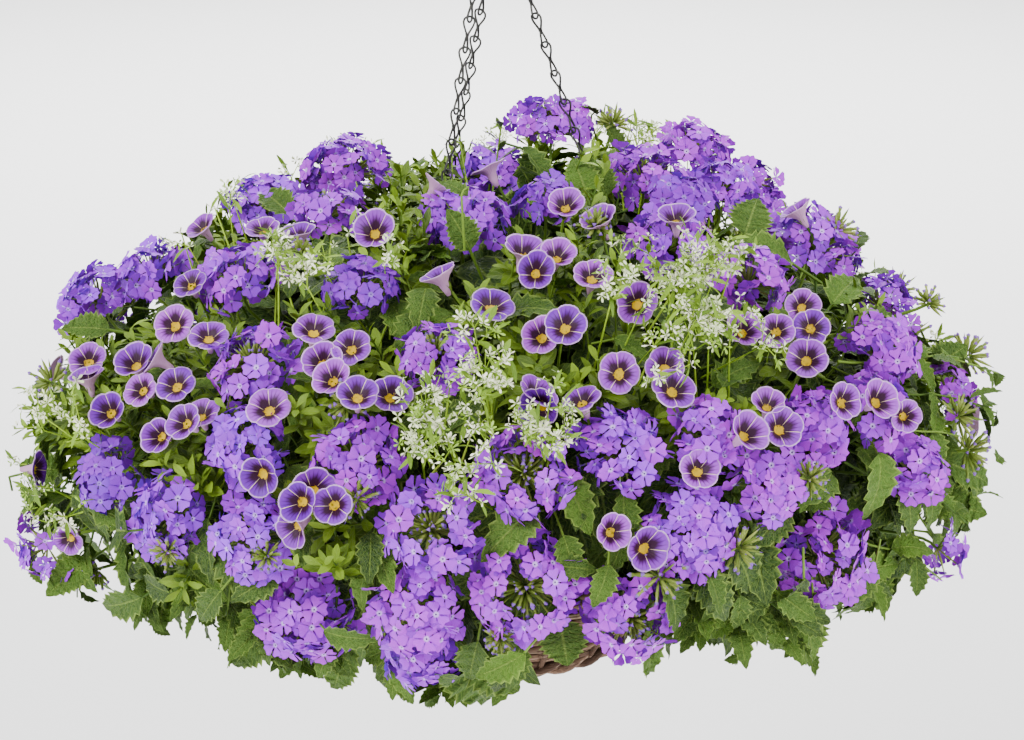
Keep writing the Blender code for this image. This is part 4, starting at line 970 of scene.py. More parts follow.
def finish_tree(wiring: Wiring, given: dict[str, Value], shape: Value) -> None:
    """End a geometry tree with real meshes and their finish."""
    real = wiring.value("GeometryNodeRealizeInstances", {0: shape})
    inputs = {"Geometry": real, "Material": given["Finish"]}
    end_tree(wiring, Geometry=wiring.value("GeometryNodeSetMaterial", inputs))


def grown(
    name: str, points: list[Vector], edges: list[tuple[int, int]],
    numbers: dict[str, tuple[str, list]], tree: str, values: dict[str, object], kept: tuple[str, ...],
) -> Thing | None:
    """The mesh that a geometry tree makes from points.

    Args:
        name: The name of the mesh.
        points: The points.
        edges: The edges between them.
        numbers: The kind and the values of each attribute, by its name.
        tree: The name of the tree.
        values: The values of the tree's inputs, by their names.
        kept: The attributes that the material reads.

    Returns:
        The object, or None where there are no points.
    """
    if not points:
        return None
    mesh = bpy.data.meshes.new(name)
    mesh.from_pydata([tuple(point) for point in points], edges, [])
    for title, (kind, given) in numbers.items():
        part = "vector" if kind == "FLOAT_VECTOR" else "value"
        mesh.attributes.new(title, kind, "POINT").data.foreach_set(part, given)
    thing = shown(name, mesh)
    modifier = thing.modifiers.new(tree, "NODES")
    modifier.node_group = bpy.data.node_groups[tree]
    for socket in modifier.node_group.interface.items_tree:
        if socket.in_out == "INPUT" and socket.name in values:
            modifier[socket.identifier] = values[socket.name]
    return baked(thing, kept)


@dataclass
class Scatter:
    """Places for one kind of small shape that is repeated."""

    rows: list[tuple] = fresh(list)

    def put(
        self, place: Vector, turn: Quaternion, size: Vector, pick: int, tone: float, shade: float = 0.0,
    ) -> None:
        """Add one place.

        Args:
            place: Where the shape's foot stands.
            turn: How the shape is turned.
            size: Its scale along each of its own directions.
            pick: Which of the shapes it is.
            tone: Its colour between the finish's two tones, from 0 to 1.
            shade: How far it is darkened as painted shade, from 0 to 1.
        """
        self.rows.append((place, turn, size, pick, min(max(tone, 0.0), 1.0), shade))

    def grow(self, name: str, box: "ShapeBox", finish: Finish) -> Thing | None:
        """The mesh of all the shapes at their places, or None where there are no places."""
        if not self.rows:
            return None
        places, turns, sizes, picks, tones, shades = zip(*self.rows)
        numbers = {
            "turn": ("QUATERNION", [part for turn in turns for part in turn]),
            "size": ("FLOAT_VECTOR", [part for size in sizes for part in size]),
            "pick": ("INT", picks), "tone": ("FLOAT", tones), "shade": ("FLOAT", shades),
        }
        values = {"Shapes": box.shapes, "Finish": finish}
        return grown(name, places, [], numbers, "scatter", values, ("tone", "shade"))


@dataclass
class Strands:
    """Lines that a round section is swept along."""

    points: list[Vector] = fresh(list)
    edges: list[tuple[int, int]] = fresh(list)
    thick: list[float] = fresh(list)
    tones: list[float] = fresh(list)

    def draw(self, line: list[Vector], radii: list[float], tone: float, closed: bool = False) -> None:
        """Add one line.

        Args:
            line: Its points.
            radii: The radius at its first and last point, or at each point.
            tone: Its colour between the finish's two tones, from 0 to 1.
            closed: Whether its end joins its start.
        """
        first, count = len(self.points), len(line)
        if len(radii) != count:
            low, high = radii[0], radii[-1]
            radii = [low + (high - low) * number / (count - 1) for number in range(count)]
        self.points.extend(line)
        self.thick.extend(radii)
        self.tones.extend([tone] * count)
        self.edges.extend((first + n, first + n + 1) for n in range(count - 1))
        if closed:
            self.edges.append((first + count - 1, first))

    def grow(self, name: str, sides: int, finish: Finish) -> Thing | None:
        """The mesh of all the lines, with so many sides, or None where there are no lines."""
        numbers = {"thick": ("FLOAT", self.thick), "tone": ("FLOAT", self.tones)}
        values = {"Sides": sides, "Finish": finish}
        return grown(name, self.points, self.edges, numbers, "strand", values, ("tone", "along"))


class ShapeBox:
    """Builds a collection of shapes that scatters draw on, and clears it away at the end."""

    def __init__(self, name: str, shapes: tuple) -> None:
        """Make the collection and put the shapes in."""
        self.name = name
        self.shapes = bpy.data.collections.new(name)
        for shape in shapes:
            shape.put_in(self)

    def add(self, points: list[tuple], faces: list[tuple], chart: list[Place]) -> None:
        """Add one shape.

        Args:
            points: Its corners, of unit size.
            faces: Its faces, counter-clockwise from the front.
            chart: The place of each corner on its chart.
        """
        mesh = bpy.data.meshes.new(f"{self.name}_{len(self.shapes.objects)}")
        mesh.from_pydata(points, [], faces)
        layer = mesh.uv_layers.new(name="chart")
        for loop in mesh.loops:
            layer.data[loop.index].uv = chart[loop.vertex_index]
        mesh.shade_smooth()
        self.shapes.objects.link(bpy.data.objects.new(mesh.name, mesh))

    def clear(self) -> None:
        """Remove the shapes."""
        for thing in list(self.shapes.objects):
            bpy.data.objects.remove(thing, do_unlink=True)
        bpy.data.collections.remove(self.shapes)


@dataclass(frozen=True)
class LeafShape:
    """A leaf one unit long that lies along +Y with its face to +Z."""

    half_width: float
    rows: int
    bite: float
    fullest: float
    fold: float
    droop: float
    ripple: float
    twist: float = 0.0

    def outline(self) -> list[Place]:
        """The places along one side: how far along, and how far out."""
        made = [(0.0, 0.012)]
        for number in range(self.rows):
            for share, bite in ((0.10, self.bite), (0.80, 0.0)):
                t = 0.05 + 0.92 * (number + share) / self.rows
                full = sin(pi * t ** self.fullest) ** 0.8
                made.append((t, self.half_width * full * (1.0 - bite)))
            if self.bite == 0.0:
                made.pop(-2)
        return made

    def raised(self, t: float, off: float, number: int) -> tuple[float, float, float]:
        """The corner at a place along the leaf and a signed way across it."""
        ripple = self.ripple * sin(number * 2.1 + (1.0 if off > 0.0 else 0.0)) if off else 0.0
        height = self.fold * abs(off) - self.droop * t * t + ripple + self.twist * off * t
        return off, t - 0.25 * self.droop * t * t, height

    def put_in(self, box: ShapeBox) -> None:
        """Add the leaf to a collection of shapes."""
        points, chart, faces = [], [], []
        for number, (t, wide) in enumerate(self.outline()):
            for off, across in ((-wide, 0.0), (0.0, 0.5), (wide, 1.0)):
                points.append(self.raised(t, off, number))
                chart.append((across, t))
        tip = len(points)
        points.append(self.raised(1.0, 0.0, 0))
        chart.append((0.5, 1.0))
        for low in range(0, tip - 3, 3):
            high = low + 3
            faces += [(low, low + 1, high + 1, high), (low + 1, low + 2, high + 2, high + 1)]
        faces += [(tip - 3, tip - 2, tip), (tip - 2, tip - 1, tip)]
        box.add(points, faces, chart)


def round_chart(points: list[tuple]) -> list[Place]:
    """The chart of a shape of unit radius that is looked at from the front."""
    return [(0.5 + 0.5 * x, 0.5 + 0.5 * y) for x, y, _ in points]


@dataclass(frozen=True)
class FloretShape:
    """A floret of unit radius with five notched petals, its face to +Z."""

    cup: float
    ruffle: float
    notch: float = 0.82

    def put_in(self, box: ShapeBox) -> None:
        """Add the floret to a collection of shapes."""
        points = [(0.0, 0.0, -0.16)]
        for petal in range(5):
            turn = tau * (petal + 0.5) / 5.0
            points.append((0.15 * cos(turn), 0.15 * sin(turn), -0.04))
        faces = [(0, 1 + (n + 4) % 5, 1 + n) for n in range(5)]
        rim = (
            (0.38, -27), (0.64, -35), (0.88, -34), (1.0, -18), (self.notch, 0),
            (1.0, 18), (0.88, 34), (0.64, 35), (0.38, 27),
        )
        for petal in range(5):
            middle = len(points)
            sway = self.ruffle * sin(petal * 2.4)
            for reach, angle in ((0.55, 0),) + rim:
                turn = tau * petal / 5.0 + radians(angle)
                side = self.ruffle * angle / 33.0
                crest = 0.05 if angle == 0 else 0.0
                height = self.cup * reach * reach + (side + sway) * reach + crest
                points.append((reach * cos(turn), reach * sin(turn), height))
            loop = [1 + (petal + 4) % 5, *range(middle + 1, middle + 1 + len(rim)), 1 + petal]
            faces += [(one, after, middle) for one, after in zip(loop, loop[1:] + loop[:1])]
        box.add(points, faces, round_chart(points))


@dataclass(frozen=True)
class TrumpetShape:
    """A trumpet flower of unit radius, its mouth to +Z and its tube behind."""

    flare: float
    ruffle: float
    segments: int = 30
    # Rings from the throat out to the edge and back along the tube: reach, height, place on the chart
    rings: tuple[tuple[float, float, float], ...] = (
        (0.10, -0.50, 0.10), (0.17, -0.44, 0.21), (0.25, -0.36, 0.30), (0.46, -0.20, 0.48),
        (0.70, -0.06, 0.70), (0.90, 0.0, 0.90), (1.0, -0.01, 1.0), (0.96, -0.05, 1.1),
        (0.50, -0.24, 1.3), (0.28, -0.50, 1.5), (0.20, -0.85, 1.7), (0.12, -1.2, 1.9),
    )

    def put_in(self, box: ShapeBox) -> None:
        """Add the trumpet to a collection of shapes."""
        points, chart, faces = [(0.0, 0.0, -0.42)], [(0.5, 0.0)], []
        count = self.segments
        for reach, height, along in self.rings:
            for number in range(count + 1):
                turn = tau * number / count
                lobe = cos(5.0 * turn)
                wide = reach * (1.03 - 0.11 * max(lobe, 0.0) ** 2 * reach)
                wave = self.ruffle * reach * reach * sin(5 * turn + reach)
                lift = height + self.flare * reach ** 3 + wave
                points.append((wide * cos(turn), wide * sin(turn), lift - 0.03 * lobe * reach))
                chart.append((number / count, along))
        end, step = len(points), count + 1
        points.append((0.0, 0.0, -1.24))
        chart.append((0.5, 2.0))
        for number in range(count):
            faces.append((0, 1 + number, 2 + number))
            for ring in range(len(self.rings) - 1):
                low = 1 + ring * step + number
                faces.append((low, low + step, low + step + 1, low + 1))
            last = end - step + number
            faces.append((last, end, last + 1))
        box.add(points, faces, chart)
        weld(box.shapes.objects[-1].data)


def weld(mesh: bpy.types.Mesh) -> None:
    """Merge the corners of a mesh that lie on each other, and keep its chart."""
    work = bmesh.new()
    work.from_mesh(mesh)
    bmesh.ops.remove_doubles(work, verts=work.verts, dist=1e-5)
    bmesh.ops.recalc_face_normals(work, faces=work.faces)
    work.to_mesh(mesh)
    work.free()
    mesh.shade_smooth()


@dataclass(frozen=True)
class SpikeShape:
    """A slim calyx or bud one unit long along +Y, with a closed tip."""

    rings: tuple[Place, ...]
    sides: int = 3

    def put_in(self, box: ShapeBox) -> None:
        """Add the spike to a collection of shapes."""
        points, chart, faces = [(0.0, 0.0, 0.0)], [(0.5, 0.0)], []
        sides = self.sides
        for along, radius in self.rings:
            for number in range(sides):
                turn = tau * number / sides
                points.append((radius * cos(turn), along, -radius * sin(turn)))
                chart.append((number / sides, along))
        tip = len(points)
        points.append((0.0, 1.0, 0.0))
        chart.append((0.5, 1.0))
        for number in range(sides):
            after = (number + 1) % sides
            faces.append((0, 1 + after, 1 + number))
            for low in range(1, tip - sides, sides):
                high = low + sides
                faces.append((low + number, low + after, high + after, high + number))
            faces.append((tip - sides + number, tip - sides + after, tip))
        box.add(points, faces, chart)


@dataclass(frozen=True)
class StarShape:
    """A tiny flower of round-ended bracts, of unit radius, its face to +Z."""

    petals: int
    lift: float

    def put_in(self, box: ShapeBox) -> None:
        """Add the flower to a collection of shapes."""
        points, faces = [(0.0, 0.0, 0.0)], []
        rim = ((0.28, -0.05), (0.70, -0.19), (1.0, -0.11), (1.0, 0.11), (0.70, 0.19), (0.28, 0.05))
        for petal in range(self.petals):
            turn = tau * (petal + 0.3 * sin(petal * 3.1)) / self.petals
            first = len(points)
            reach = 1.0 - 0.22 * (petal % 2)
            for share, wide in rim:
                x = reach * share * cos(turn) - wide * sin(turn)
                y = reach * share * sin(turn) + wide * cos(turn)
                points.append((x, y, self.lift * share))
            faces.append((0, *range(first, first + 6)))
        box.add(points, faces, round_chart(points))


class ShapeStore:
    """All the small shapes, made once and cleared away before the end."""

    def __init__(self) -> None:
        """Make each collection of shapes."""
        self.verbena_leaf = ShapeBox("verbena_leaf", (
            LeafShape(0.29, 6, 0.26, 0.74, 0.35, 0.28, 0.020),
            LeafShape(0.32, 6, 0.28, 0.72, 0.18, 0.45, 0.030, 0.15),
            LeafShape(0.27, 6, 0.24, 0.76, 0.48, 0.16, 0.025, -0.20),
            LeafShape(0.33, 6, 0.26, 0.70, 0.25, 0.60, 0.030),
        ))
        self.long_leaf = ShapeBox("long_leaf", (
            LeafShape(0.50, 9, 0.22, 0.74, 0.30, 0.32, 0.035),
            LeafShape(0.50, 9, 0.24, 0.70, 0.20, 0.45, 0.045, 0.20),
        ))
        self.spoon_leaf = ShapeBox("spoon_leaf", (
            LeafShape(0.16, 4, 0.0, 1.45, 0.35, 0.20, 0.0),
            LeafShape(0.18, 4, 0.0, 1.35, 0.20, 0.35, 0.0, 0.10),
            LeafShape(0.14, 4, 0.0, 1.50, 0.50, -0.08, 0.0),
        ))
        self.narrow_leaf = ShapeBox("narrow_leaf", (
            LeafShape(0.10, 3, 0.0, 1.0, 0.30, 0.15, 0.0), LeafShape(0.12, 3, 0.0, 1.1, 0.20, 0.30, 0.0),
        ))
        self.floret = ShapeBox("floret", (
            FloretShape(0.06, 0.05), FloretShape(-0.10, 0.07, 0.84), FloretShape(0.20, 0.09, 0.88),
        ))
        self.trumpet = ShapeBox("trumpet", (
            TrumpetShape(0.04, 0.02), TrumpetShape(0.22, 0.03), TrumpetShape(-0.06, 0.05),
        ))
        self.spike = ShapeBox("spike", (
            SpikeShape(((0.04, 0.035), (0.50, 0.075), (0.66, 0.045), (0.96, 0.035))),
            SpikeShape(((0.05, 0.035), (0.55, 0.080), (0.72, 0.050), (0.90, 0.085))),
            SpikeShape(((0.10, 0.050), (0.45, 0.065), (0.75, 0.040))),
        ))
        self.star = ShapeBox("star", (StarShape(4, 0.30), StarShape(5, 0.60), StarShape(3, 0.15)))

    def clear(self) -> None:
        """Remove all the shapes."""
        for box in vars(self).values():
            box.clear()


@dataclass
class Hanger:
    """The hanger hook: a crook, a shank and a closed eye, bent from one wire."""

    wire: float = 0.00175
    crook_radius: float = 0.01575
    crook_z: float = -0.014
    shank_z: float = -0.042
    eye_half_width: float = 0.0150
    eye_half_height: float = 0.0085
    eye_z: float = -0.0625

    def eye_point(self, angle: float) -> Vector:
        """A point on the middle line of the eye."""
        turn = radians(angle)
        high = self.eye_z + self.eye_half_height * sin(turn)
        return Vector((self.eye_half_width * cos(turn), 0.0, high))

    def path(self) -> list[Vector]:
        """The middle line of the wire, from its open end to the end of the eye."""
        made = []
        for angle in (208, 190, 165, 140, 115, 90, 65, 40, 15, -10):
            turn = radians(angle)
            high = self.crook_z + self.crook_radius * sin(turn)
            made.append(Vector((self.crook_radius * cos(turn), 0.0, high)))
        shank = ((0.0115, -0.028), (0.0035, -0.0365), (0.0, self.shank_z), (0.0, -0.0505))
        made += [Vector((right, 0.0, high)) for right, high in shank]
        for angle in (70, 40, 12, -15, -35, -53, -72, -90, -108, -127, -145, -165, 168, 140, 112):
            made.append(self.eye_point(angle))
        return made

    def build(self, palette: Palette) -> Thing:
        """Sweep the wire along its path."""
        strands = Strands()
        line = eased(self.path(), 4)
        radii = [self.wire] * len(line)
        radii[0] = radii[-1] = self.wire * 0.72
        strands.draw(line, radii, 0.5)
        return landed(strands.grow("hook_of_wire", 12, palette.hook_wire), "hanger_steel", "hanger_hook")


@dataclass
class LinkChain:
    """One chain of double-loop links, with a bail in the hook's eye and a clip on the rim."""

    name: str
    hanger: Hanger
    wire: float = 0.00085
    links: int = 20
    overlap: float = 0.0042
    wide: float = 0.0047
    narrow: float = 0.0031
    rim_radius: float = 0.150
    rim_z: float = -0.511
    rim_roll: float = 0.006
    end_above_rim: float = 0.0105
    bail_radius: float = 0.0037
    clip_gap: float = 0.0012

    def way_out(self) -> Vector:
        """The level direction from the middle of the basket to the chain."""
        return ring_point(1.0, radians(CHAIN_AZIMUTHS[self.name]))

    def line(self) -> tuple[Vector, Vector]:
        """The top of the chain in the eye, and its foot above the rim."""
        foot = self.way_out() * self.rim_radius + UP * (self.rim_z + self.end_above_rim)
        return self.hanger.eye_point(CHAIN_EYE_ANGLES[self.name]), foot

    def link_line(self, length: float) -> list[Vector]:
        """The wire of one link: a wide loop above and a narrow one below, turned across it."""
        upper, lower = 0.50 * length, -0.50 * length
        wide_loop = (
            (1.00, 0.0), (0.97, 0.48), (0.86, 0.90), (0.70, 1.0), (0.50, 0.84), (0.28, 0.52),
            (0.10, 0.24),
        )
        narrow_loop = ((0.10, 0.24), (0.36, 0.62), (0.64, 0.96), (0.84, 1.0), (0.96, 0.58))
        made = [Vector((wide * self.wide, 0.0, upper * share)) for share, wide in wide_loop]
        down = [Vector((0.0, wide * self.narrow * 0.9, lower * share)) for share, wide in narrow_loop]
        bottom = [Vector((0.0, 0.0, lower))]
        other = [Vector((0.0, -v.y, v.z)) for v in reversed(down)]
        back = [Vector((-v.x, 0.0, v.z)) for v in reversed(made[1:])]
        return made + down + bottom + other + back

    def build(self, palette: Palette) -> Thing:
        """Set the links along the chain, then sweep the bail and the clip."""
        top, foot = self.line()
        along = (foot - top).normalized()
        start = top + along * 0.0040
        pitch = ((foot - start).length - 0.002) / self.links
        box, single = ShapeBox("link_" + self.name, ()), Strands()
        single.draw(self.link_line(pitch + self.overlap), [self.wire], 0.5, closed=True)
        template = single.grow("link", 6, palette.wire)
        bpy.context.scene.collection.objects.unlink(template)
        box.shapes.objects.link(template)
        scatter = Scatter()
        side = along.cross(Vector((0.0, 1.0, 0.0))).normalized()
        dice = Dice(len(self.name))
        for number in range(self.links):
            centre = start + along * (pitch * (number + 0.5))
            swing = Quaternion(along, dice.uniform(-0.14, 0.14) + 0.66)
            upright = Matrix((side, side.cross(along), -along)).transposed().to_quaternion()
            scatter.put(centre, swing @ upright, even(1.0), 0, 0.5)
        chain = scatter.grow("links_" + self.name, box, palette.wire)
        box.clear()
        fittings = self.fittings(top, foot, along).grow("fittings_" + self.name, 7, palette.wire)
        piece = joined("link_chain_" + self.name, [chain, fittings])
        return landed(piece, "chain_steel", "chain_" + self.name)

    def fittings(self, top: Vector, foot: Vector, along: Vector) -> Strands:
        """The bail round the eye and the clip round the rim."""
        made = Strands()
        hang, eye = CHAIN_EYE_ANGLES[self.name], self.hanger.eye_point
        across = (eye(hang + 1.0) - eye(hang - 1.0)).normalized().cross(along).normalized()
        turns = [tau * number / 14.0 for number in range(14)]
        made.draw([
            top + (along * cos(turn) + across * sin(turn)) * self.bail_radius for turn in turns
        ], [self.wire], 0.5, closed=True)
        out = self.way_out()
        centre = out * self.rim_radius + UP * self.rim_z
        reach = self.rim_roll + self.wire + self.clip_gap
        hook = [foot + along * -0.004, foot + UP * -0.0005]
        for angle in (62, 40, 22, 0, -18, -34, -48):
            swing = radians(angle)
            hook.append(centre + (out * cos(swing) + UP * sin(swing)) * reach)
        made.draw(eased(hook, 2), [self.wire], 0.5)
        return made


@dataclass
class WovenBasket:
    """The basket: stakes, weavers in and out of them, a twisted rim and foot, and a woven base."""

    rim_radius: float = 0.150
    base_radius: float = 0.098
    rim_z: float = -0.511
    base_z: float = -0.620
    stakes: int = 28
    weavers: int = 21
    strand: float = 0.0026
    swing: float = 0.0022
    dice: Dice = fresh(lambda: Dice(31))
    made: Strands = fresh(Strands)

    def wall_radius(self, share: float) -> float:
        """The radius of the wall at a share of its height."""
        spread = self.rim_radius - 0.004 - self.base_radius
        return self.base_radius + spread * sin(share * pi / 2.0)

    def ring(
        self, radius: float, height: float, count: int, waves: float, swell: float, rise: float,
        phase: float, thick: float, vary: Place | None = None,
    ) -> None:
        """Weave a closed strand round the basket, in and out.

        Args:
            radius: Its middle radius.
            height: Its middle height.
            count: How many points it has.
            waves: How many times it swings in and out.
            swell: How far it swings in and out.
            rise: How far it swings up and down, a quarter turn later.
            phase: Where it starts, in radians.
            thick: Its radius as a strand.
            vary: The least and most share of that radius.
        """
        line = []
        first, second = self.dice.uniform(0.0, tau), self.dice.uniform(0.0, tau)
        for number in range(count):
            turn = tau * number / count
            uneven = 0.0006 * sin(5.0 * turn + first) + 0.0004 * sin(11.0 * turn + second)
            out = radius + swell * cos(waves * turn + phase) + uneven
            line.append(ring_point(out, turn, height + rise * sin(waves * turn + phase) + uneven))
        if vary:
            thick *= self.dice.uniform(*vary)
        self.made.draw(line, [thick], self.dice.random(), closed=True)

    def build(self, palette: Palette) -> Thing:
        """Weave the basket."""
        span = self.rim_z - 0.006 - (self.base_z + 0.010)
        for number in range(self.stakes):
            turn, line = tau * (number + 0.5) / self.stakes, []
            for share in (step / 7.0 for step in range(8)):
                high = self.base_z + 0.004 + (self.rim_z - self.base_z - 0.004) * share
                line.append(ring_point(self.wall_radius(share) - 0.0026, turn, high))
            self.made.draw(line, [0.0021], self.dice.random())
        for row in range(self.weavers):
            share = (row + 0.5) / self.weavers
            self.ring(
                self.wall_radius(share) - 0.0026, self.base_z + 0.010 + span * share, self.stakes * 4,
                self.stakes / 2.0, self.swing, 0.0, pi * (row % 2), self.strand, (0.92, 1.06),
            )
        for number in range(3):
            phase = tau * number / 3.0
            self.ring(self.rim_radius, self.rim_z, 150, 19.0, 0.0034, 0.0034, phase, 0.0031)
        for number in range(2):
            radius, height = self.base_radius - 0.001, self.base_z + 0.0068
            self.ring(radius, height, 120, 13.0, 0.0028, 0.0028, pi * number, 0.0037)
        self.weave_base()
        return landed(self.made.grow("vine_basket", 7, palette.vine), "vine", "woven_basket")

    def weave_base(self) -> None:
        """The underside: spokes with rings woven over and under them."""
        for number in range(8):
            way = ring_point(1.0, pi * number / 8.0)
            line = [
                way * (self.base_radius - 0.004) * share + UP * (self.base_z + 0.0052)
                for share in (-1.0, -0.5, 0.0, 0.5, 1.0)
            ]
            self.made.draw(line, [0.0020], self.dice.random())
        row, radius = 0, 0.012
        while radius < self.base_radius - 0.004:
            phase = pi * (row % 2)
            self.ring(radius, self.base_z + 0.0050, 64, 8.0, 0.0, 0.0016, phase, 0.0025)
            radius += 0.0052
            row += 1


def shaped(name: str, points: list[Vector], faces: list[tuple], finish: Finish) -> Thing:
    """A smooth object of the scene from its corners and faces."""
    mesh = bpy.data.meshes.new(name)
    mesh.from_pydata([tuple(point) for point in points], [], faces)
    mesh.shade_smooth()
    mesh.materials.append(finish)
    return shown(name, mesh)


@dataclass
class CocoLiner:
    """The fibre liner: a matted bowl with loose fibres along its top edge."""

    wall: float = 0.004
    inset: float = 0.0098
    floor_z: float = -0.6130
    top_z: float = -0.504
    rim_z: float = -0.511
    around: int = 72
    fibres: int = 420

    def build(self, palette: Palette, basket: WovenBasket) -> Thing:
        """Turn the bowl and lay the fibres."""
        dice, count, rows = Dice(5), self.around, []
        for share in (0.0, 0.16, 0.32, 0.48, 0.64, 0.80, 0.93):
            height = self.floor_z + (self.rim_z - self.floor_z) * share
            rows.append((basket.wall_radius(share) - self.inset, height))
        rows.append((basket.wall_radius(0.93) - self.inset, self.top_z))
        points, faces = [], []
        for inner in (0.0, self.wall):
            for number, (radius, height) in enumerate(rows):
                lift = inner if number == 0 else 0.0
                for step in range(count):
                    rough = dice.uniform(-0.0005, 0.0005)
                    turn = tau * step / count
                    points.append(ring_point(radius - inner + rough, turn, height + lift + rough * 0.8))
        high = len(rows)
        for shell in range(2):
            for row in range(high - 1):
                for step in range(count):
                    after, low = (step + 1) % count, (shell * high + row) * count
                    quad = (low + step, low + after, low + count + after, low + count + step)
                    faces.append(quad[::-1] if shell else quad)
        top, other = (high - 1) * count, (2 * high - 1) * count
        for step in range(count):
            after = (step + 1) % count
            faces.append((top + step, top + after, other + after, other + step))
        faces += [tuple(reversed(range(count))), tuple(high * count + step for step in range(count))]
        bowl = shaped("coco_bowl", points, faces, palette.coco)
        loose = self.lay_fibres(rows[-1][0], dice).grow("coco_fibres", 3, palette.coco)
        return landed(joined("fibre_liner", [bowl, loose]), "coco_fibre", "coco_liner")

    def lay_fibres(self, radius: float, dice: Dice) -> Strands:
        """The loose fibres along the top edge, which has the radius given."""
        fibres = Strands()
        for _ in range(self.fibres):
            way = ring_point(1.0, dice.uniform(0.0, tau))
            side = Vector((-way.y, way.x, 0.0))
            start = way * (radius - dice.uniform(0.0, self.wall)) + UP * (self.top_z - 0.002)
            lean = side * dice.uniform(-0.006, 0.006) + way * dice.uniform(-0.003, 0.002)
            middle = start + lean * 0.5 + UP * dice.uniform(0.002, 0.004)
            end = start + lean + UP * dice.uniform(0.003, 0.007)
            fibres.draw([start, middle, end], [0.00022, 0.0001], dice.random())
        return fibres


@dataclass
class PottingSoil:
    """The soil: a crumbly top and a plain body under it."""

    radius: float = 0.1275
    top_z: float = -0.514
    floor_z: float = -0.6085
    floor_radius: float = 0.084
    heap: float = 0.004
    rings: int = 14
    around: int = 60

    def build(self, palette: Palette) -> Thing:
        """Heap the soil."""
        dice, rings, count = Dice(12), self.rings, self.around
        points, faces = [Vector((0.0, 0.0, self.top_z + self.heap))], []
        for ring in range(1, rings + 1):
            share = ring / rings
            for step in range(count):
                turn = tau * (step + 0.5 * (ring % 2)) / count
                crumb = dice.uniform(-0.0012, 0.0016) if ring < rings else 0.0
                height = self.top_z + self.heap * (1.0 - share * share) + crumb
                points.append(ring_point(self.radius * share, turn, height))
        for step in range(count):
            points.append(ring_point(self.floor_radius, tau * step / count, self.floor_z))
        for step in range(count):
            after = (step + 1) % count
            faces.append((0, 1 + step, 1 + after))
            for low in range(1, 1 + rings * count, count):
                faces.append((low + step, low + count + step, low + count + after, low + after))
        faces.append(tuple(reversed(range(1 + rings * count, 1 + (rings + 1) * count))))
        return landed(shaped("crumbly_soil", points, faces, palette.earth), "soil", "potting_soil")


@dataclass
class FlowerHead:
    """One verbena head: its middle, the way it faces, its size and its stage."""

    centre: Vector
    axis: Vector
    radius: float
    stage: HeadStage
    tone: float


@dataclass
class HeadPlan:
    """Where all the heads stand, as in the solids."""

    hanger: Hanger
    bunches: dict[str, list[FlowerHead]] = fresh(dict)
    buds: list[FlowerHead] = fresh(list)
    dice: Dice = fresh(lambda: Dice(21))

    def lay_out(self) -> None:
        """Place the heads by the picture and round the back, then push them apart."""
        for name, spots in FRONT_BUNCHES.items():
            self.bunches[name] = [
                self.head(sight((x, y), 0.00086 * radius), 0.001 * radius, *stage)
                for x, y, radius, *stage in spots
            ]
        for name, spots in BACK_BUNCHES.items():
            heads = self.bunches[name] = []
            for azimuth, elevation, radius, *stage in spots:
                point = mound_point(polar(azimuth, elevation), 1.0, 0.0)
                centre = point - outward(point) * (0.00086 * radius)
                heads.append(self.head(centre, 0.001 * radius, *stage))
        self.push_apart([head for heads in self.bunches.values() for head in heads])
        for x, y, radius in BUD_HEADS:
            centre = sight((x, y), 0.0004 * radius)
            self.buds.append(self.head(centre, 0.001 * radius, BUD))
            high = centre.z + self.dice.uniform(-0.03, 0.03)
            mirrored = Vector((centre.x * 0.98, -centre.y + 0.01, high))
            if self.dice.random() < 0.6 and centre.y < -0.08:
                self.buds.append(self.head(mirrored, 0.001 * radius, BUD))

    def head(self, centre: Vector, radius: float, stage: HeadStage = HeadStage.FULL) -> FlowerHead:
        """One head, which faces out and a little up."""
        axis = (outward(centre) + UP * 0.30).normalized()
        blue = 0.24 - 0.55 * centre.x + self.dice.uniform(-0.22, 0.22)
        return FlowerHead(centre, axis, radius, stage, min(max(blue, 0.0), 1.0))

    def push_apart(self, heads: list[FlowerHead]) -> None:
        """Push heads apart where they would meet, and away from the chains."""
        lines = [LinkChain(name, self.hanger).line() for name in CHAIN_AZIMUTHS]
        for _ in range(60):
            for number, one in enumerate(heads):
                for other in heads[number + 1:]:
                    apart = other.centre - one.centre
                    need = one.radius + other.radius + 0.001
                    if apart.length < need:
                        push = apart.normalized() * (0.5 * (need - apart.length))
                        other.centre = other.centre + push
                        one.centre = one.centre - push
                for top, foot in lines:
                    way = (foot - top).normalized()
                    along = max(0.0, min((foot - top).length, (one.centre - top).dot(way)))
                    off = one.centre - (top + way * along)
                    need = one.radius + CHAIN_ROOM
                    if off.length < need:
                        one.centre = one.centre + off.normalized() * (need - off.length)

    def all_heads(self) -> list[FlowerHead]:
        """Every head, the buds among them."""
        return [head for heads in self.bunches.values() for head in heads] + self.buds


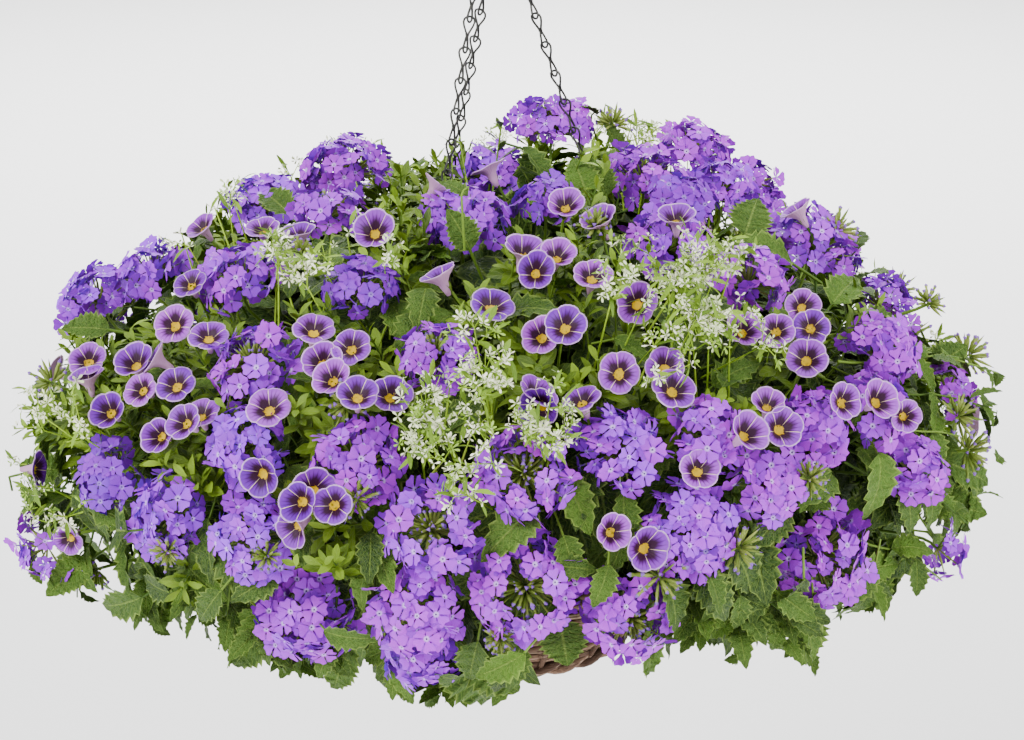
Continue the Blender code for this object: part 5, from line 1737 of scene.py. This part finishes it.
@dataclass
class VerbenaHeads:
    """The verbena heads: florets on a dome, calyxes under them and a flower stalk."""

    plan: HeadPlan
    store: ShapeStore
    floret: float = 0.0091
    spread: float = 1.16
    trim: float = 0.95
    stalk: float = 0.0013
    ring_opening: float = 0.35
    few_share: float = 0.62
    skirt: float = 106.0
    dice: Dice = fresh(lambda: Dice(77))

    def build(self, palette: Palette) -> None:
        """Make each bunch as one piece, then the heads in bud as another."""
        for name, heads in self.plan.bunches.items():
            petals, greens, stalks = Scatter(), Scatter(), Strands()
            for head in heads:
                self.dome(head, petals, greens)
                self.stand(head, stalks)
            gathered("flowers_" + name, "verbena_petal", [
                petals.grow("petals_" + name, self.store.floret, palette.floret),
                greens.grow("calyxes_" + name, self.store.spike, palette.calyx),
                stalks.grow("stalks_" + name, 5, palette.stem),
            ], ("verbena_head_" if len(heads) == 1 else "verbena_heads_") + name)
        greens, stalks = Scatter(), Strands()
        for head in self.plan.buds:
            self.umbel(head, greens, 100.0, 26)
            self.stand(head, stalks)
        gathered("verbena_buds", "verbena_leaf", [
            greens.grow("bud_spikes", self.store.spike, palette.calyx),
            stalks.grow("bud_stalks", 5, palette.stem),
        ])

    @staticmethod
    def direction(head: FlowerHead, tilt: float, turn: float) -> Vector:
        """The direction at a tilt from the head's axis and a turn round it."""
        flat = square_to(head.axis, turn)
        return (head.axis * cos(tilt) + flat * sin(tilt)).normalized()

    def dome(self, head: FlowerHead, petals: Scatter, greens: Scatter) -> None:
        """Set the florets of one head, and what shows between them.

        Args:
            head: The head.
            petals: Takes the florets.
            greens: Takes the calyxes and buds.
        """
        dice, ring = self.dice, head.stage is RING
        highest = cos((self.ring_opening if ring else 0.0) * pi / 2.0)
        radius = head.radius * self.trim
        share = radius / self.floret
        span = highest - cos(radians(self.skirt))
        count = int(self.spread * share * share * 2.0 * span / 1.15)
        if head.stage is FEW:
            count = int(count * self.few_share)
        start = dice.uniform(0.0, tau)
        # An inner layer of florets under the outer ones, darkened as painted shade in the gaps between
        # them
        for number in range(count // 2):
            level = highest - span * (number + 0.5) / (count // 2)
            way = self.direction(head, acos(level), start + 1.0 + GOLDEN_TURN * number)
            size = self.floret * dice.uniform(0.80, 1.0)
            facing = (way + jitter(dice, 0.45)).normalized()
            petals.put(
                head.centre + way * radius * 0.74, turn_for(facing.orthogonal(), facing), even(size),
                dice.randrange(3), head.tone * 0.6, dice.uniform(0.35, 0.6),
            )
        for number in range(count):
            level = highest - span * (number + 0.5) / count
            tilt = acos(level) + dice.uniform(-0.09, 0.09)
            turn = start + GOLDEN_TURN * number + dice.uniform(-0.12, 0.12)
            way = self.direction(head, tilt, turn)
            flat = way - head.axis * way.dot(head.axis) * 0.14
            place = head.centre + flat * (radius * dice.uniform(0.84, 1.04) - 0.001)
            facing = (way + jitter(dice, 0.17) + head.axis * 0.10 + UP * 0.06).normalized()
            lean = turn_for(self.direction(head, 1.2, turn + dice.uniform(-3.0, 3.0)), facing)
            size = self.floret * dice.uniform(0.86, 1.12)
            # Painted shade: a shaded head is darkened all over, and florets low on the dome's side more
            # than those on top
            shade = 0.50 if head.stage is SHADED else max(0.0, 0.30 * (tilt - 1.35))
            petals.put(
                place, lean, even(size), dice.randrange(3),
                head.tone + dice.uniform(-0.24, 0.24), shade + dice.uniform(0.0, 0.14),
            )
            root = head.centre - head.axis * head.radius * 0.10
            long = (place - root).length * 0.99
            greens.put(
                root, turn_for(place - root, facing), Vector((0.016, long, 0.016)), 0,
                dice.uniform(0.1, 0.7),
            )
        if ring:
            self.umbel(head, greens, 58.0, 34)

    def umbel(self, head: FlowerHead, greens: Scatter, widest: float, count: int) -> None:
        """Spikes and buds that stand out from the middle of a head.

        Args:
            head: The head.
            greens: Takes the spikes.
            widest: The tilt from the axis, in degrees, of the outermost spike.
            count: How many there are.
        """
        dice, bottom, ring = self.dice, cos(radians(widest)), head.stage is RING
        root = head.centre - head.axis * head.radius * (-0.12 if ring else 0.25)
        for number in range(count):
            tilt = acos(1.0 + (bottom - 1.0) * (number + 0.5) / count)
            way = self.direction(head, tilt, GOLDEN_TURN * number + dice.uniform(-0.2, 0.2))
            reach = head.radius * dice.uniform(0.72, 1.06) * (0.58 if ring else 1.25)
            thick = dice.uniform(0.016, 0.024)
            greens.put(
                root + way * reach * 0.15,
                turn_for(way + jitter(dice, 0.24 if ring else 0.10), jitter(dice, 1.0)),
                Vector((thick, reach * 0.85, thick)), dice.choice((1, 1, 2)), dice.uniform(0.0, 0.8),
            )

    def stand(self, head: FlowerHead, stalks: Strands) -> None:
        """The stalk that carries a head, from inside the mound."""
        base = MOUND_CENTRE + (head.centre - MOUND_CENTRE) * 0.62
        base.z -= 0.02
        middle = head.centre - head.axis * head.radius * 1.1 + jitter(self.dice, 0.004)
        low = MOUND_CENTRE + (head.centre - MOUND_CENTRE) * 0.30
        low.z = min(low.z, -0.49)
        top = head.centre - head.axis * head.radius * 0.10
        radii = [self.stalk * 1.4, self.stalk * 0.8]
        stalks.draw(eased([low, base, middle, top], 4), radii, self.dice.random())


@dataclass
class Ground:
    """Says which plant grows at a place, and what must stay open to view."""

    plan: HeadPlan
    blooms: list[tuple[Vector, Vector]] = fresh(list)
    spots: list[tuple[float, float, float, float]] = fresh(list)
    trumpet_spot: float = 17.0
    trumpet_room: float = 0.015
    basket_top: float = -0.508
    basket_reach: float = 0.156
    slope_top: float = -0.52
    slope: float = 0.3

    def settle(self) -> None:
        """Note where each head and trumpet stands in the picture."""
        for head in self.plan.all_heads():
            if in_view(head.centre):
                x, y, depth = picture_place(head.centre)
                reach = head.radius / VIEW_SCALE * 0.86
                self.spots.append((x, y, depth + 0.2 * head.radius, reach))
        for mouth, _ in self.blooms:
            if in_view(mouth):
                x, y, depth = picture_place(mouth)
                self.spots.append((x, y, depth + 0.004, self.trumpet_spot))

    @staticmethod
    def kind_at(point: Vector, dice: Dice) -> PlantKind:
        """The plant that grows at a place. The back has that of the place across from it."""
        seen = point if point.y < 0.05 else Vector((-point.x, 0.1 - point.y, point.z))
        x, y, _ = picture_place(seen)
        for place_x, place_y, reach, _ in SPRAYS:
            if hypot(x - place_x, y - place_y) < reach * 0.8 and dice.random() < 0.6:
                return PlantKind.EUPHORBIA
        for place_x, place_y, reach in TUFTS:
            if hypot(x - place_x, y - place_y) < reach * dice.uniform(0.8, 1.15):
                return PlantKind.CALIBRACHOA
        return PlantKind.VERBENA

    def open_at(self, points: tuple[Vector, ...], slack: float = 1.0) -> bool:
        """Whether a shape at these points hides no flower and keeps clear of the hardware.

        Args:
            points: A few points of the shape.
            slack: How much of each flower has to stay in view.

        Returns:
            True where the shape may stand.
        """
        return all(self.clear_at(point) and self.shows(point, slack) for point in points)

    def shows(self, point: Vector, slack: float) -> bool:
        """Whether a point leaves the flowers in view, all of each or the share given."""
        for head in self.plan.all_heads():
            off = point - head.centre
            if off.length < head.radius * 0.92 * slack:
                return False
            depth = off.dot(head.axis)
            if depth > 0.0 and (off - head.axis * depth).length < head.radius * 0.80 * slack:
                return False
        for mouth, axis in self.blooms:
            off = point - mouth
            depth = off.dot(axis)
            if depth > -0.006 and (off - axis * depth).length < self.trumpet_room * slack:
                return False
        x, y, deep = picture_place(point)
        return not in_view(point) or not any(
            deep < reach_depth and hypot(x - place_x, y - place_y) < reach * slack
            for place_x, place_y, reach_depth, reach in self.spots
        )

    def clear_at(self, point: Vector) -> bool:
        """Whether a point keeps inside the plants' outline and off the hardware."""
        if point.z < LOWEST or past_edge(point) or not in_outline(point, OUTLINE_INSET):
            return False
        x, y, _ = picture_place(point)
        left, right, top = FOOT_WINDOW
        if left < x < right and y > top and point.y < 0.0:
            return False
        wall = self.basket_reach + self.slope * min(point.z - self.slope_top, 0.0)
        if point.z < self.basket_top and hypot(point.x, point.y) < wall:
            return False
        return not self.at_chain(point)

    def at_chain(self, point: Vector) -> bool:
        """Whether a point touches a chain."""
        for name in CHAIN_AZIMUTHS:
            top, foot = LinkChain(name, self.plan.hanger).line()
            way, off = (foot - top).normalized(), point - top
            if (off - way * off.dot(way)).length < CHAIN_ROOM:
                return True
        return False


@dataclass
class Sector:
    """The part of the mound that one plant's foliage is gathered into."""

    node: str
    azimuth: float
    leaves: Scatter = fresh(Scatter)
    stems: Strands = fresh(Strands)
    extra: Scatter = fresh(Scatter)

    def off(self, point: Vector) -> float:
        """How far round the mound a point is from the middle of this part, in degrees."""
        turn = degrees(atan2(point.y, point.x))
        return abs((turn - self.azimuth + 180.0) % 360.0 - 180.0)


def nearest_sector(sectors: list[Sector], point: Vector) -> Sector:
    """The sector whose middle is nearest round the mound."""
    return min(sectors, key=lambda sector: sector.off(point))


def three_sectors(title: str, *azimuths: float) -> list[Sector]:
    """The sectors of a plant in the front, at the left and at the back, by where each is."""
    names = ("front", "left", "back")
    return [Sector(title.format(name), turn) for name, turn in zip(names, azimuths)]


@dataclass
class VerbenaFoliage:
    """The dark toothed leaves of the verbenas, in three layers, with long leaves and edge shoots."""

    ground: Ground
    store: ShapeStore
    outer: int = 2700
    middle: int = 1100
    inner: int = 1250
    leaf: float = 0.043
    petiole: float = 0.0009
    split_z: float = -0.372
    dice: Dice = fresh(lambda: Dice(404))
    low: list[Sector] = fresh(lambda: three_sectors("verbena_leaves_{}_low", 300.0, 180.0, 60.0))
    top: list[Sector] = fresh(lambda: three_sectors("verbena_leaves_{}_top", 300.0, 180.0, 60.0))

    def sector(self, point: Vector) -> Sector:
        """The part of the mound that a point belongs to."""
        return nearest_sector(self.top if point.z > self.split_z else self.low, point)

    def build(self, palette: Palette) -> None:
        """Grow the leaves and make each part one piece."""
        self.grow_layer(self.outer, (0.88, 1.00), (0.70, 1.20), True)
        self.grow_layer(self.middle, (0.76, 0.88), (0.9, 1.25), True)
        # The inner layer: darker leaves that fill the depth of the mound with painted shade
        self.grow_layer(self.inner, (0.60, 0.80), (1.2, 1.6), False)
        self.grow_long()
        self.grow_shoots()
        for sector in self.low + self.top:
            name = sector.node.replace("verbena_leaves", "toothed_leaves")
            gathered(name, "verbena_leaf", [
                sector.leaves.grow(name, self.store.verbena_leaf, palette.verbena_leaf),
                sector.stems.grow(name + "_stems", 4, palette.stem),
                sector.extra.grow(name + "_long", self.store.long_leaf, palette.verbena_leaf),
            ], sector.node)

    def grow_layer(self, count: int, depths: Place, sizes: Place, choosy: bool) -> None:
        """One layer of leaves.

        Args:
            count: How many places are tried.
            depths: The least and most share of the mound's size.
            sizes: The least and most share of a leaf's length.
            choosy: Whether leaves only grow where the verbena does.
        """
        dice, ground = self.dice, self.ground
        for _ in range(count):
            way = even_way(dice)
            point = mound_point(way, dice.uniform(*depths))
            if dice.random() > 0.18 + edge_share(point):
                continue
            if choosy and ground.kind_at(point, dice) is not PlantKind.VERBENA:
                if dice.random() < 0.86:
                    continue
            under = max(0.0, -0.25 - way.z)
            if dice.random() < 0.75 * under:
                continue
            length = self.leaf * dice.uniform(*sizes)
            along, face = self.lie(point, under)
            foot = point - along * (length * 0.5)
            tip = foot + along * length - face * (length * 0.2)
            if not in_outline(foot, OUTLINE_INSET) or not ground.clear_at(tip):
                continue
            if not (ground.open_at((point, tip)) if choosy else ground.clear_at(point)):
                continue
            sector = self.sector(point)
            # Leaves of the inner layer take only the darker greens, as painted shade deep in the mound
            tone = dice.betavariate(1.3, 2.4) * (1.0 if choosy else 0.35)
            sector.leaves.put(
                foot, turn_for(along, face), Vector((length * dice.uniform(0.9, 1.15), length, length)),
                dice.randrange(4), tone,
            )
            if choosy:
                back = foot - along * length * 0.45 - outward(foot) * 0.012
                sector.stems.draw([back, foot + along * length * 0.06], [self.petiole], dice.random())

    def lie(self, point: Vector, under: float) -> tuple[Vector, Vector]:
        """The way a leaf points and the way it faces.

        Args:
            point: Its place on the mound.
            under: How far round to the underside that is, from 0 to about 0.7.

        Returns:
            The way it points and the way its face looks.
        """
        dice, normal = self.dice, outward(point)
        downhill = normal * normal.z - UP
        if downhill.length < 0.15:
            downhill = Vector((normal.x, normal.y, -0.1))
        downhill.normalize()
        across = normal.cross(downhill)
        turn = radians(dice.gauss(0.0, 62.0))
        flat = downhill * cos(turn) + across * sin(turn)
        rise = radians(dice.uniform(5.0, 58.0))
        along = flat * cos(rise) + normal * sin(rise)
        level = Vector((point.x - MOUND_CENTRE.x, point.y, 0.0)).normalized()
        along = along + (level * dice.uniform(0.3, 1.2) - UP * dice.uniform(0.1, 1.2)) * (3.0 * under)
        face = normal * (1.0 - under) + level * under + UP * 0.50 + jitter(dice, 0.42)
        return along.normalized(), face.normalized()

    def grow_long(self) -> None:
        """The large leaves that stand out of the mound where the picture has them."""
        for foot, tip, width in LONG_LEAVES:
            start, end = sight(foot, 0.03), sight(tip, 0.0)
            end.y = start.y + (end.y - start.y) * 0.5 - 0.006
            end.z = max(end.z, LOWEST + 0.004)
            span = end - start
            face = (outward(start) * 0.7 - LOOKING * 0.7 + UP * 0.35).normalized()
            sector = self.sector(start)
            sector.extra.put(
                start, turn_for(span, face),
                Vector((width * 1.05, span.length * 1.04, span.length * 0.8)), self.dice.randrange(2),
                self.dice.uniform(0.35, 0.75),
            )
            stem = [start - span * 0.7, start + span * 0.05]
            sector.stems.draw(stem, [self.petiole * 1.3], 0.4)

    def grow_shoots(self) -> None:
        """Leafy shoots past the edge of the mound, and a few like them round the back."""
        for foot, tip in EDGE_SHOOTS:
            start, end = sight(foot, 0.03), sight(tip, 0.0)
            end.y = start.y + (end.y - start.y) * 0.5
            self.shoot(start, end)
            if self.dice.random() < 0.8:
                spin = Matrix.Rotation(self.dice.uniform(2.2, 4.0), 3, "Z")
                self.shoot(spin @ start, spin @ end)

    def shoot(self, start: Vector, end: Vector) -> None:
        """A stem with pairs of leaves that get smaller to its tip.

        Args:
            start: Where the stem leaves the mound.
            end: Its tip.
        """
        dice, ground, sector = self.dice, self.ground, self.sector(start)
        end.z = max(end.z, LOWEST + 0.006)
        middle = (start + end) * 0.5 + UP * 0.008 + jitter(dice, 0.006)
        line = eased([start - (end - start) * 0.4, start, middle, end], 3)
        line = [
            point for point in line
            if in_outline(point, 2.0) and not past_edge(point) and ground.shows(point, 0.6)
        ]
        if len(line) < 2:
            return
        sector.stems.draw(line, [0.0011, 0.0006], dice.random())
        way = (end - start).normalized()
        side = way.cross(outward(start)).normalized()
        for number in range(6):
            share = 0.25 + 0.15 * number
            place = start + (end - start) * share + UP * (0.008 * sin(pi * share))
            swing = Quaternion(way, 1.57 * (number % 2) + dice.uniform(-0.4, 0.4))
            for sign in (-1.0, 1.0):
                along = (swing @ side * sign + way * dice.uniform(0.5, 1.1)).normalized()
                length = (0.040 - 0.022 * share) * dice.uniform(0.85, 1.15)
                tip = place + along * length
                if tip.z < LOWEST or past_edge(tip, 0.004) or not in_outline(tip, 8.0):
                    continue
                if not in_outline(place, 2.0) or not ground.shows((place + tip) * 0.5, 0.9):
                    continue
                face = outward(place) * 0.6 + UP * 0.8 - LOOKING * 0.2 + jitter(dice, 0.3)
                sector.leaves.put(
                    place, turn_for(along, face.normalized()), even(length), dice.randrange(4),
                    dice.uniform(0.3, 0.9),
                )


@dataclass
class Calibrachoas:
    """The calibrachoas: shoots of small spoon leaves, and trumpet flowers."""

    ground: Ground
    store: ShapeStore
    tufts_tried: int = 3200
    leaf: float = 0.0235
    bloom: float = 0.0144
    apart: float = 0.021
    inset: float = 0.004
    head_room: float = 0.005
    push: Vector = fresh(lambda: LOOKING * 0.004)
    dice: Dice = fresh(lambda: Dice(90))
    sectors: list[Sector] = fresh(lambda: three_sectors("calibrachoa_{}", 320.0, 203.0, 85.0))

    def in_head(self, mouth: Vector) -> bool:
        """Whether a trumpet here would stand inside a verbena head."""
        return any(
            (mouth - head.centre).length < head.radius + self.head_room
            for head in self.ground.plan.all_heads()
        )

    def place_blooms(self) -> None:
        """Note each trumpet's mouth and the way it faces, so that leaves keep clear of it."""
        dice, blooms = Dice(55), self.ground.blooms
        for place in BLOOMS:
            mouth = sight(place, self.inset)
            for _ in range(8):
                if self.in_head(mouth):
                    mouth = mouth - self.push
            for _ in range(5):
                if any((mouth - other).length < self.apart for other, _ in blooms):
                    mouth = mouth - self.push
            axis = outward(mouth) * 0.75 - LOOKING * 0.42 + UP * 0.12 + jitter(dice, 0.22)
            blooms.append((mouth, axis.normalized()))
        for place in SIDE_BLOOMS:
            mouth = sight(place, self.inset)
            lean = Vector((dice.uniform(-1, 1), 0.1, 0.1 + dice.random()))
            blooms.append((mouth, (outward(mouth) * 0.5 + lean).normalized()))
        for azimuth, elevation in BACK_BLOOMS:
            mouth = mound_point(polar(azimuth, elevation), 1.0)
            axis = (outward(mouth) + UP * 0.3 + jitter(dice, 0.3)).normalized()
            if not self.in_head(mouth) and not in_view(mouth):
                blooms.append((mouth, axis))

    def build(self, palette: Palette) -> None:
        """Grow the shoots and the trumpets, and make each part one piece."""
        dice = self.dice
        for _ in range(self.tufts_tried):
            point = mound_point(even_way(dice), dice.uniform(0.94, 1.03))
            if self.ground.kind_at(point, dice) is PlantKind.CALIBRACHOA:
                self.tuft(point)
        for mouth, axis in self.ground.blooms:
            self.flower(mouth, axis)
        for sector in self.sectors:
            name = sector.node.replace("calibrachoa", "spoon_leaves")
            gathered(name, "calibrachoa_leaf", [
                sector.leaves.grow(name, self.store.spoon_leaf, palette.spoon_leaf),
                sector.stems.grow(name + "_stems", 4, palette.stem),
            ], sector.node)
            name = sector.node.replace("calibrachoa", "trumpets")
            flowers = sector.extra.grow(name, self.store.trumpet, palette.trumpet)
            landed(flowers, "calibrachoa_leaf")

    def tuft(self, point: Vector) -> None:
        """A shoot that ends at a point, with leaves all round it that get smaller to its tip."""
        dice, normal = self.dice, outward(point)
        way = (normal + UP * 0.45 + jitter(dice, 0.45)).normalized()
        length = dice.uniform(0.030, 0.055)
        if not self.ground.open_at((point, point + way * 0.008)):
            return
        sector = nearest_sector(self.sectors, point)
        foot = point - way * length
        sector.stems.draw([foot - normal * 0.02, foot, point], [0.0010, 0.0007], dice.random())
        count = dice.randrange(11, 16)
        tone = dice.betavariate(2.4, 1.8)
        for number in range(count):
            share = number / (count - 1)
            flat = square_to(way, GOLDEN_TURN * number)
            along = (flat + way * (0.35 + 0.75 * share) + jitter(dice, 0.12)).normalized()
            place = foot + way * (length * (0.15 + 0.85 * share))
            size = self.leaf * (1.12 - 0.55 * share) * dice.uniform(0.85, 1.12)
            if self.ground.open_at((place + along * size,), 0.92):
                sector.leaves.put(
                    place, turn_for(along, way - flat * 0.3), Vector((size * 1.1, size, size)),
                    dice.randrange(3), tone * (0.55 + 0.45 * share) + dice.uniform(-0.1, 0.15),
                )

    def flower(self, mouth: Vector, axis: Vector) -> None:
        """One trumpet with its calyx.

        Args:
            mouth: The middle of its mouth.
            axis: The way it faces.
        """
        dice, sector = self.dice, nearest_sector(self.sectors, mouth)
        size = self.bloom * dice.uniform(0.88, 1.10)
        side = (axis.orthogonal() + jitter(dice, 0.6)).normalized()
        squeeze = dice.uniform(0.86, 1.0)
        sector.extra.put(
            mouth, turn_for(side, axis), Vector((size * squeeze, size, size)), dice.randrange(3),
            dice.betavariate(1.4, 2.2),
        )
        foot = mouth - axis * (size * 1.14)
        root = foot - axis * 0.03 - outward(mouth) * 0.02 - UP * 0.01
        sector.stems.draw([root, foot - axis * 0.010, foot], [0.0009, 0.0011], dice.random())
        for number in range(5):
            flat = square_to(axis, tau * number / 5.0)
            along = (axis + flat * 0.55).normalized()
            sector.leaves.put(
                foot, turn_for(along, flat), Vector((0.010, 0.011, 0.011)), number % 3,
                dice.uniform(0.2, 0.6),
            )


@dataclass
class Euphorbias:
    """The euphorbias: airy forked sprays of thin stems, narrow leaves and tiny white bracts."""

    ground: Ground
    store: ShapeStore
    reach: float = 0.021
    star: float = 0.0045
    dice: Dice = fresh(lambda: Dice(61))
    sectors: list[Sector] = fresh(lambda: three_sectors("euphorbia_{}", 263.0, 146.0, 28.0))

    def build(self, palette: Palette) -> None:
        """Grow the sprays and make each part one piece."""
        dice = self.dice
        for x, y, reach, count in SPRAYS:
            for _ in range(count):
                turn, far = dice.uniform(0.0, tau), reach * sqrt(dice.random())
                place = (x + far * cos(turn), y + far * sin(turn) * 0.9)
                point = sight(place, 0.016)
                self.spray(point, 0.5 if count >= 20 else 0.85)
                if dice.random() < 0.75 and point.y < -0.05:
                    self.spray(Vector((-point.x, 0.02 - point.y, point.z)), 0.85)
        for sector in self.sectors:
            name = sector.node.replace("euphorbia", "airy_sprays")
            gathered(name, "euphorbia_bract", [
                sector.extra.grow(name, self.store.star, palette.bract),
                sector.leaves.grow(name + "_leaves", self.store.narrow_leaf, palette.narrow_leaf),
                sector.stems.grow(name + "_stems", 3, palette.pale_stem),
            ], sector.node)

    def spray(self, point: Vector, slack: float) -> None:
        """One spray that forks twice.

        Args:
            point: Where its stem leaves the leaves.
            slack: How much of each flower the spray leaves in view.
        """
        way = (outward(point) + UP * 0.35 + jitter(self.dice, 0.45)).normalized()
        sector = nearest_sector(self.sectors, point)
        if self.fork(sector, point, way, self.reach * self.dice.uniform(0.7, 1.2), 2, slack):
            sector.stems.draw([point - way * 0.05, point], [0.0009, 0.0008], self.dice.random())

    def fork(
        self, sector: Sector, place: Vector, way: Vector, length: float, left: int, slack: float,
    ) -> bool:
        """One stem of a spray and what grows from its end.

        Args:
            sector: Takes the stems, leaves and bracts.
            place: Where the stem starts.
            way: The way it grows.
            length: Its length.
            left: How often it still forks.
            slack: How much of each flower it leaves in view.

        Returns:
            True where it had room.
        """
        dice, end = self.dice, place + way * length
        if not self.ground.open_at((end,), slack):
            return False
        sector.stems.draw([place, end], [0.00034 + 0.00012 * left], dice.random())
        if dice.random() < 0.8:
            along = (way * 0.5 + jitter(dice, 1.0)).normalized()
            size = even(dice.uniform(0.010, 0.019))
            turn = turn_for(along, jitter(dice, 1.0) + UP)
            sector.leaves.put(end, turn, size, dice.randrange(2), dice.uniform(0.2, 0.9))
        for _ in range((2, 1, 1)[left]):
            facing = (way + jitter(dice, 0.8)).normalized()
            size = even(self.star * dice.uniform(0.75, 1.25))
            sector.extra.put(
                end + jitter(dice, 0.0028), turn_for(facing.orthogonal(), facing), size,
                dice.randrange(3), dice.choice((0.0, 0.5, 0.8, 1.0)),
            )
        start = dice.uniform(0.0, tau)
        for number in range(3 if left else 0):
            flat = square_to(way, start + tau * number / 3.0)
            aim = (way + flat * dice.uniform(0.5, 1.1) + UP * 0.05).normalized()
            self.fork(sector, end, aim, length * dice.uniform(0.5, 0.8), left - 1, slack)
        return True


@dataclass
class Studio:
    """The pale floor, the soft lights and the camera."""

    floor_z: float = -1.25
    floor_reach: float = 14.0
    world: float = 0.85
    sensor: float = 36.0

    def floor(self) -> None:
        """A plain pale floor far under the basket."""
        reach = self.floor_reach
        mesh = bpy.data.meshes.new("floor")
        corners = ((-reach, -reach), (reach, -reach), (reach, reach), (-reach, reach))
        mesh.from_pydata([(x, y, self.floor_z) for x, y in corners], [], [(0, 1, 2, 3)])
        made = bpy.data.materials.new("pale_floor")
        made.use_nodes = True
        shader = made.node_tree.nodes["Principled BSDF"]
        shader.inputs["Base Color"].default_value = (0.95, 0.95, 0.95, 1.0)
        shader.inputs["Roughness"].default_value = 0.9
        mesh.materials.append(made)
        shown("floor", mesh)

    def lights(self) -> None:
        """A white surround, three wide lamps, and three that wash the floor."""
        world = bpy.data.worlds.new("studio")
        bpy.context.scene.world = world
        world.use_nodes = True
        background = world.node_tree.nodes["Background"]
        background.inputs["Color"].default_value = (1.0, 1.0, 1.0, 1.0)
        background.inputs["Strength"].default_value = self.world
        for name, place, size, power in (
            ("key", (-1.6, -2.0, 1.5), 1.2, 70.0),
            ("fill", (2.2, -1.6, 0.4), 1.6, 24.0),
            ("top", (0.2, 0.6, 1.9), 1.6, 36.0),
            ("wash_back", (0.0, 5.2, 1.6), 5.0, 480.0),
            ("wash_left", (-4.6, -2.8, 1.6), 5.0, 480.0),
            ("wash_right", (4.6, -2.8, 1.6), 5.0, 480.0),
        ):
            lamp = bpy.data.lights.new(name, "AREA")
            lamp.shape, lamp.size, lamp.energy = "DISK", size, power
            away = UP if name.startswith("wash") else Vector(place) - MOUND_CENTRE
            self.aimed(shown(name, lamp), place, away)

    @staticmethod
    def aimed(thing: Thing, place: Vector | tuple[float, float, float], away: Vector) -> None:
        """Set a lamp or the camera at a place, with its back the way given."""
        thing.location = place
        thing.rotation_euler = away.to_track_quat("Z", "Y").to_euler()

    def camera(self) -> None:
        """The camera at the picture's distance, height and width of view."""
        data = bpy.data.cameras.new("camera")
        data.sensor_width = self.sensor
        data.lens = self.sensor * VIEW_DISTANCE / (PICTURE_WIDTH * VIEW_SCALE)
        data.clip_start, data.clip_end = 0.05, 60.0
        thing = shown("camera", data)
        place = MOUND_CENTRE - LOOKING * VIEW_DISTANCE
        self.aimed(thing, place, place - (MOUND_CENTRE + from_centre(*PICTURE_MIDDLE)))
        bpy.context.scene.camera = thing

    def build(self) -> None:
        """Set up the studio."""
        self.floor()
        self.lights()
        self.camera()


def main() -> None:
    """Build every piece in order."""
    logging.basicConfig(level=logging.INFO, format="%(name)s: %(message)s")
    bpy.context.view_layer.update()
    scatter_tree()
    strand_tree()
    palette, store, hanger = Palette(), ShapeStore(), Hanger()
    hanger.build(palette)
    for name in CHAIN_AZIMUTHS:
        LinkChain(name, hanger).build(palette)
    basket = WovenBasket()
    basket.build(palette)
    CocoLiner().build(palette, basket)
    PottingSoil().build(palette)
    plan = HeadPlan(hanger)
    plan.lay_out()
    ground = Ground(plan)
    calibrachoas = Calibrachoas(ground, store)
    calibrachoas.place_blooms()
    ground.settle()
    VerbenaHeads(plan, store).build(palette)
    VerbenaFoliage(ground, store).build(palette)
    calibrachoas.build(palette)
    Euphorbias(ground, store).build(palette)
    store.clear()
    Studio().build()


if __name__ == "__main__":
    main()
